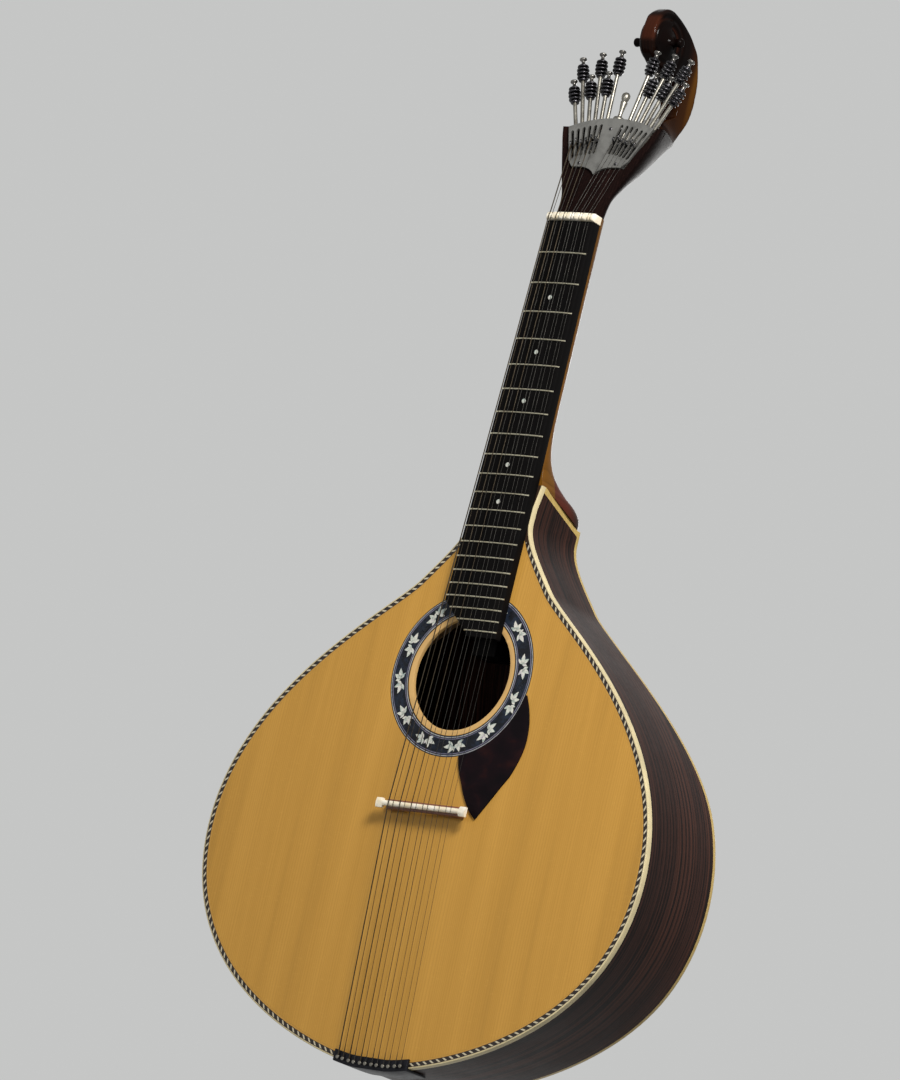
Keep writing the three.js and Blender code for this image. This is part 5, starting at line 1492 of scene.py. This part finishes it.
def build_scroll():
    """Carved roll on its stem, with a spiral cut into both sides."""
    blank = as_object(scroll_blank(), "blank")
    fuse = blank.modifiers.new("Fuse", "REMESH")
    fuse.mode = "VOXEL"
    fuse.voxel_size = 0.75
    ease = blank.modifiers.new("Ease", "SMOOTH")
    ease.factor = 0.5
    ease.iterations = 5
    bm = applied(blank)
    centre = from_nut(0, *SCROLL_EYE)
    for vert in bm.verts:
        up, back = vert.co.z - centre.z, vert.co.y - centre.y
        radius = math.hypot(up, back)
        if radius > SPIRAL_REACH or abs(vert.co.x) < SPIRAL_SIDE:
            continue
        turn = math.atan2(back, up) % math.tau
        spiral = SPIRAL_START + SPIRAL_PITCH * turn / math.tau
        dip = math.exp(-((radius - spiral) / 1.7) ** 2)
        dip += 0.55 * math.exp(-((radius - spiral - SPIRAL_PITCH) / 1.3) ** 2)
        share = min(dip, 1) * smoothstep(abs(vert.co.x), SPIRAL_SIDE, 7.5)
        vert.co.x -= math.copysign(SPIRAL_DEPTH * share, vert.co.x)
    bmesh.ops.smooth_vert(bm, verts=bm.verts, factor=0.5, use_axis_x=True, use_axis_y=True,
                          use_axis_z=True)
    publish("scroll_wood", bm, NECK, "Scroll wood", "scroll", sharp=80)


# Machine

def knob_profile(foot):
    """Ringed barrel of a knob from its foot up, as pairs of radius and height."""
    radius = sizes().knob_radius / MM
    waist = radius * 0.45
    points = [(0, foot + 0.1), (waist, foot), (radius * 0.66, foot + 0.2),
              (radius * 0.7, foot + 0.8), (radius * 0.5, foot + 1.3)]
    for height, out in KNOB_RINGS:
        points.append((waist, foot + height - 1.25))
        for k in range(7):
            turn = math.pi * k / 6
            points.append((waist + (radius * out - waist) * math.sin(turn) ** 0.5,
                           foot + height - 1.0 * math.cos(turn)))
        points.append((waist, foot + height + 1.25))
    return points + [(radius * 0.42, foot + 14), (0, foot + 14.4)]


def build_screws():
    """Twelve tuning screws, a bright rod with a dark ringed knob and a bright tip."""
    collar = RAIL_RADIUS - RAIL_THICKNESS - GAP
    for index, angle in enumerate(SCREW_ANGLES):
        foot = (LONG_TIP if index in LONG_SCREWS else SHORT_TIP) - KNOB_LENGTH
        body = f"tuner_{index + 1}"
        rod = ((0, SCREW_END), (0.8, SCREW_END), (1, SCREW_END + 0.3), (1, collar - COLLAR),
               (2, collar - COLLAR), (2, collar - 0.2), (1.8, collar), (1.5, collar),
               (1.5, foot), (0, foot + 0.2))
        crown = [(out, foot + up) for out, up in KNOB_CROWN]
        for name, profile, steps, finish, node, sharp in (
            ("rod", rod, 20, "Nickel rod", None, 32),
            ("knob", knob_profile(foot), 28, "Dark knob", body, 50),
            ("tip", crown, 24, "Knob tip", None, 50),
        ):
            publish(f"screw_{name}_{index + 1}", turned(profile, steps), ray(angle), finish,
                    node, body, sharp)


def hook_radius(index):
    return 76.5 + 1.4 * math.sin(2 * index)


def build_hooks():
    """Twelve sliding hooks, each a block with a curled tongue through its slot."""
    places = [Vector((0, -1.2)), Vector((0, -4))]
    places += [Vector((x, y - HOOK_REACH)) for x, y in TONGUE]
    curve = catmull(places, 3)
    last = len(curve) - 1
    rings = []
    for i, here in enumerate(curve):
        ahead = curve[min(i + 1, last)] - curve[max(i - 1, 0)]
        ahead.normalize()
        thick = mix(0.85, 0.55, i / last)
        side = Vector((-ahead.y, ahead.x))
        ring = []
        for k in range(8):
            turn = math.tau * k / 8
            place = here + side * (thick * math.sin(turn))
            ring.append(Vector((0.9 * thick * math.cos(turn), place.y, place.x)))
        rings.append(ring)
    for index, angle in enumerate(SCREW_ANGLES):
        bm = bmesh.new()
        box(bm, (-1.65, -2, -3), (1.65, 2, 3))
        soften(bm, 0.4)
        skin(bm, rings)
        body = f"hook_{index + 1}"
        publish(f"string_hook_{index + 1}", bm,
                ray(angle) @ Matrix.Translation((0, 0, hook_radius(index))), "Hook steel", body,
                body, 50)


def build_loop_maker():
    """Small turned crank between the two halves of the fan."""
    seat = RAIL_RADIUS + GAP * 2
    inner = RAIL_RADIUS - RAIL_THICKNESS - GAP
    profile = [(0, inner - COLLAR), (2, inner - COLLAR), (2, inner), (1.5, inner), (1.5, seat)]
    profile += [(CRANK_RADIUS * out, seat + CRANK_LENGTH * up) for out, up in CRANK_SHARES]
    publish("loop_crank", turned(profile, 28), ray(0), "Nickel rod", "loop_maker",
            "loop_maker", 50)


def build_fan():
    """Finish of the fan plate, and its three rivets."""
    dress("Nickel plate", "fan_plate")
    bm = bmesh.new()
    profile = ((0, -0.3), (1.3, -0.3), (1.3, 0.2), (1.0, 0.5), (0, 0.6))
    for x, z in RIVETS:
        add_into(bm, turned(profile, 20), upright((x, 0, z)))
    publish("fan_rivets", bm, FAN, "Dark knob", None)


# Strings

def tube(bm, path, radii):
    """A round cord through places, charted along its length."""
    last = len(path) - 1
    rings = []
    for i, here in enumerate(path):
        ahead = (path[min(i + 1, last)] - path[max(i - 1, 0)]).normalized()
        across = ahead.cross(Vector((0, 1, 0))).normalized()
        other = across.cross(ahead)
        turns = [math.tau * k / 8 for k in range(8)]
        rings.append([here + (across * math.cos(turn) + other * math.sin(turn)) * radii[i]
                      for turn in turns])
    skin(bm, rings, charted=True)


def string_path(index):
    """Places and radii of a string in the body's frame."""
    radius = STRING_RADII[index]
    clear = radius + 0.12
    over_bridge = SADDLE_CREST - clear + 0.2
    x_bridge = across_strings(index, BRIDGE_SPACING)
    x_tail = across_strings(index, TAIL_SPACING)
    x_nut = across_strings(index, NUT_SPACING)
    share = x_nut / (NUT_HALF_WIDTH + GAP)
    crown = NUT_RISE + BOARD_CAMBER * (1 - share * share) + clear + 0.05
    tail_z = outline_height(x_tail) + PIN_HEIGHT
    tail = Vector((x_tail, front_y(tail_z) - 3.9, tail_z + 1.1))
    nut_front = INTO_BODY @ NECK @ from_nut(x_nut, 2, crown)
    nut_back = INTO_BODY @ NECK @ from_nut(x_nut, NUT_THICKNESS, crown - 0.9)
    end = INTO_BODY @ ray(SCREW_ANGLES[index]) @ Vector((
        0, -HOOK_REACH - 1.4, hook_radius(index) + 0.3))
    path = [tail, tail.lerp(Vector((x_bridge, over_bridge, BRIDGE_HEIGHT - 2)), 0.06),
            Vector((x_bridge, over_bridge, BRIDGE_HEIGHT - 1.6)),
            Vector((x_bridge, over_bridge, BRIDGE_HEIGHT + 1.6)), nut_front, nut_back,
            end.lerp(nut_back, 0.16), end.lerp(nut_back, 0.14), end]
    return path, [radius + 0.25] + [radius] * 6 + [radius + 0.2] * 2


def build_strings():
    """Twelve strings from their tail pins over bridge and nut to their hooks."""
    for index in range(12):
        path, radii = string_path(index)
        bm = bmesh.new()
        tube(bm, path, radii)
        finish = "Wound string" if index in WOUND_STRINGS else "Plain string"
        piece = publish(f"cord_{index + 1}", bm, BODY, finish, f"string_{index + 1}",
                        None, 60)
        tuple(BODY @ path[5])
        tuple(BODY @ path[-2])
        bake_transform(piece)


# Stage

def area_light(name, place, aim, size, power, tint):
    """A lamp that looks at a height in the middle of the guitar."""
    lamp = bpy.data.lights.new(name, "AREA")
    lamp.shape = "RECTANGLE"
    lamp.size, lamp.size_y = size
    lamp.energy = power
    lamp.color = tint
    holder = bpy.data.objects.new(name, lamp)
    holder.location = place
    way = Vector((0, 0, aim)) - Vector(place)
    holder.rotation_euler = way.to_track_quat("-Z", "Y").to_euler()
    bpy.context.scene.collection.objects.link(holder)


def build_floor(wall):
    """Pale floor that keeps the guitar's shadow and can't be seen from below."""
    bm = bmesh.new()
    bmesh.ops.create_grid(bm, x_segments=1, y_segments=1, size=6)
    bmesh.ops.translate(bm, vec=(0, 0, FLOOR_HEIGHT), verts=bm.verts)
    mesh = bpy.data.meshes.new("floor")
    bm.to_mesh(mesh)
    bm.free()
    tree = Finish("Pale floor")
    grain = tree.noise(tree.where(), 6.0, 4.0)
    tree.surface(tree.ramp(grain, (0.35, shade(wall, 0.5)), (0.65, shade(wall, 0.54))),
                 tree.span(grain, 0.3, 0.7, 0.75, 0.9))
    tree.set(tree.shader.inputs["Emission Color"], wall)
    tree.set(tree.shader.inputs["Emission Strength"], tree.seen() * 0.62)
    below = tree.value("ShaderNodeNewGeometry", output="Backfacing")
    clear = tree.value("ShaderNodeBsdfTransparent")
    tree.set(tree.result, tree.either(below, tree.shader.outputs[0], clear))
    mesh.materials.append(tree.material)
    floor = bpy.data.objects.new("floor", mesh)
    bpy.context.scene.collection.objects.link(floor)


def build_stage():
    """Pale floor, pale background, soft lamps and the camera."""
    scene = bpy.context.scene
    scene.view_settings.view_transform = "Standard"
    wall = tuple(colours().wall)
    scene.world = bpy.data.worlds.new("Pale room")
    scene.world.use_nodes = True
    tree = Tree(scene.world.node_tree)
    light = tree.value("ShaderNodeBackground", {"Color": (0.96, 0.98, 1.0), "Strength": 0.34})
    shown = tree.value("ShaderNodeBackground", {"Color": wall, "Strength": 1.0})
    tree.add("ShaderNodeOutputWorld", {0: tree.either(tree.seen(), light, shown)})
    build_floor(wall)
    for lamp in LAMPS:
        area_light(*lamp)
    data = bpy.data.cameras.new("camera")
    data.lens = CAMERA_LENS
    data.sensor_width = 36
    camera = bpy.data.objects.new("camera", data)
    camera.location = CAMERA_PLACE
    camera.rotation_euler = tuple(math.radians(a) for a in CAMERA_TURN)
    scene.collection.objects.link(camera)
    scene.camera = camera


# Operators

class GUITAR_OT_materials(Operator):
    """Make every wood, shell, bone and metal finish"""
    bl_idname = "guitar.materials"
    bl_label = "Finishes"

    def execute(self, context):
        make_materials()
        return {"FINISHED"}


class GUITAR_OT_soundboard(Operator):
    """Add the soundboard, rosette and scratch plate"""
    bl_idname = "guitar.soundboard"
    bl_label = "Soundboard"

    def execute(self, context):
        build_top()
        build_rosette()
        build_guard()
        return {"FINISHED"}


class GUITAR_OT_case(Operator):
    """Add the sides, the back and the edges, and finish what is inside"""
    bl_idname = "guitar.case"
    bl_label = "Sides and back"

    def execute(self, context):
        build_sides()
        build_back()
        build_edges()
        dress("Inner wood", "top_lining", "back_lining", "top_brace_1", "top_brace_2",
              "back_brace")
        dress("Rosewood", "tail_block")
        return {"FINISHED"}


class GUITAR_OT_bridge(Operator):
    """Add the bridge and the tail angle with its pins"""
    bl_idname = "guitar.bridge"
    bl_label = "Bridge and tail"

    def execute(self, context):
        build_bridge()
        build_tail()
        return {"FINISHED"}


class GUITAR_OT_neck(Operator):
    """Add the neck, the fingerboard with its frets and dots, and the nut"""
    bl_idname = "guitar.neck"
    bl_label = "Neck"

    def execute(self, context):
        build_neck()
        build_board()
        build_frets()
        build_nut()
        return {"FINISHED"}


class GUITAR_OT_head(Operator):
    """Add the head and its carved scroll"""
    bl_idname = "guitar.head"
    bl_label = "Head and scroll"

    def execute(self, context):
        build_head()
        build_scroll()
        return {"FINISHED"}


class GUITAR_OT_machine(Operator):
    """Add the tuning screws, hooks and loop maker, and finish the fan plate"""
    bl_idname = "guitar.machine"
    bl_label = "Fan machine"

    def execute(self, context):
        build_fan()
        build_screws()
        build_hooks()
        build_loop_maker()
        return {"FINISHED"}


class GUITAR_OT_strings(Operator):
    """Add the twelve strings"""
    bl_idname = "guitar.strings"
    bl_label = "Strings"

    def execute(self, context):
        build_strings()
        return {"FINISHED"}


class GUITAR_OT_stage(Operator):
    """Add the floor, the background, the lamps and the camera"""
    bl_idname = "guitar.stage"
    bl_label = "Stage"

    def execute(self, context):
        build_stage()
        return {"FINISHED"}


OPERATORS = (
    GUITAR_OT_materials, GUITAR_OT_soundboard, GUITAR_OT_case, GUITAR_OT_bridge, GUITAR_OT_neck,
    GUITAR_OT_head, GUITAR_OT_machine, GUITAR_OT_strings, GUITAR_OT_stage,
)


class GUITAR_PT_panel(Panel):
    """Guitar pieces, sizes and colours"""
    bl_idname = "GUITAR_PT_panel"
    bl_label = "Portuguese guitar"
    bl_space_type = "VIEW_3D"
    bl_region_type = "UI"
    bl_category = "Guitar"

    def draw(self, context):
        for group in (context.scene.guitar_sizes, context.scene.guitar_colours):
            column = self.layout.box()
            for name in group.bl_rna.properties.keys():
                if name not in ("rna_type", "name"):
                    column.prop(group, name)
        for operator in OPERATORS:
            self.layout.operator(operator.bl_idname)


CLASSES = (GuitarSizes, GuitarColours, *OPERATORS, GUITAR_PT_panel)


def register():
    for each in CLASSES:
        bpy.utils.register_class(each)
    bpy.types.Scene.guitar_sizes = PointerProperty(type=GuitarSizes)
    bpy.types.Scene.guitar_colours = PointerProperty(type=GuitarColours)


def unregister():
    del bpy.types.Scene.guitar_colours
    del bpy.types.Scene.guitar_sizes
    for each in reversed(CLASSES):
        bpy.utils.unregister_class(each)


def main():
    register()
    for operator in OPERATORS:
        family, name = operator.bl_idname.split(".")
        getattr(getattr(bpy.ops, family), name)()
    bpy.context.view_layer.update()


if __name__ == "__main__":
    main()
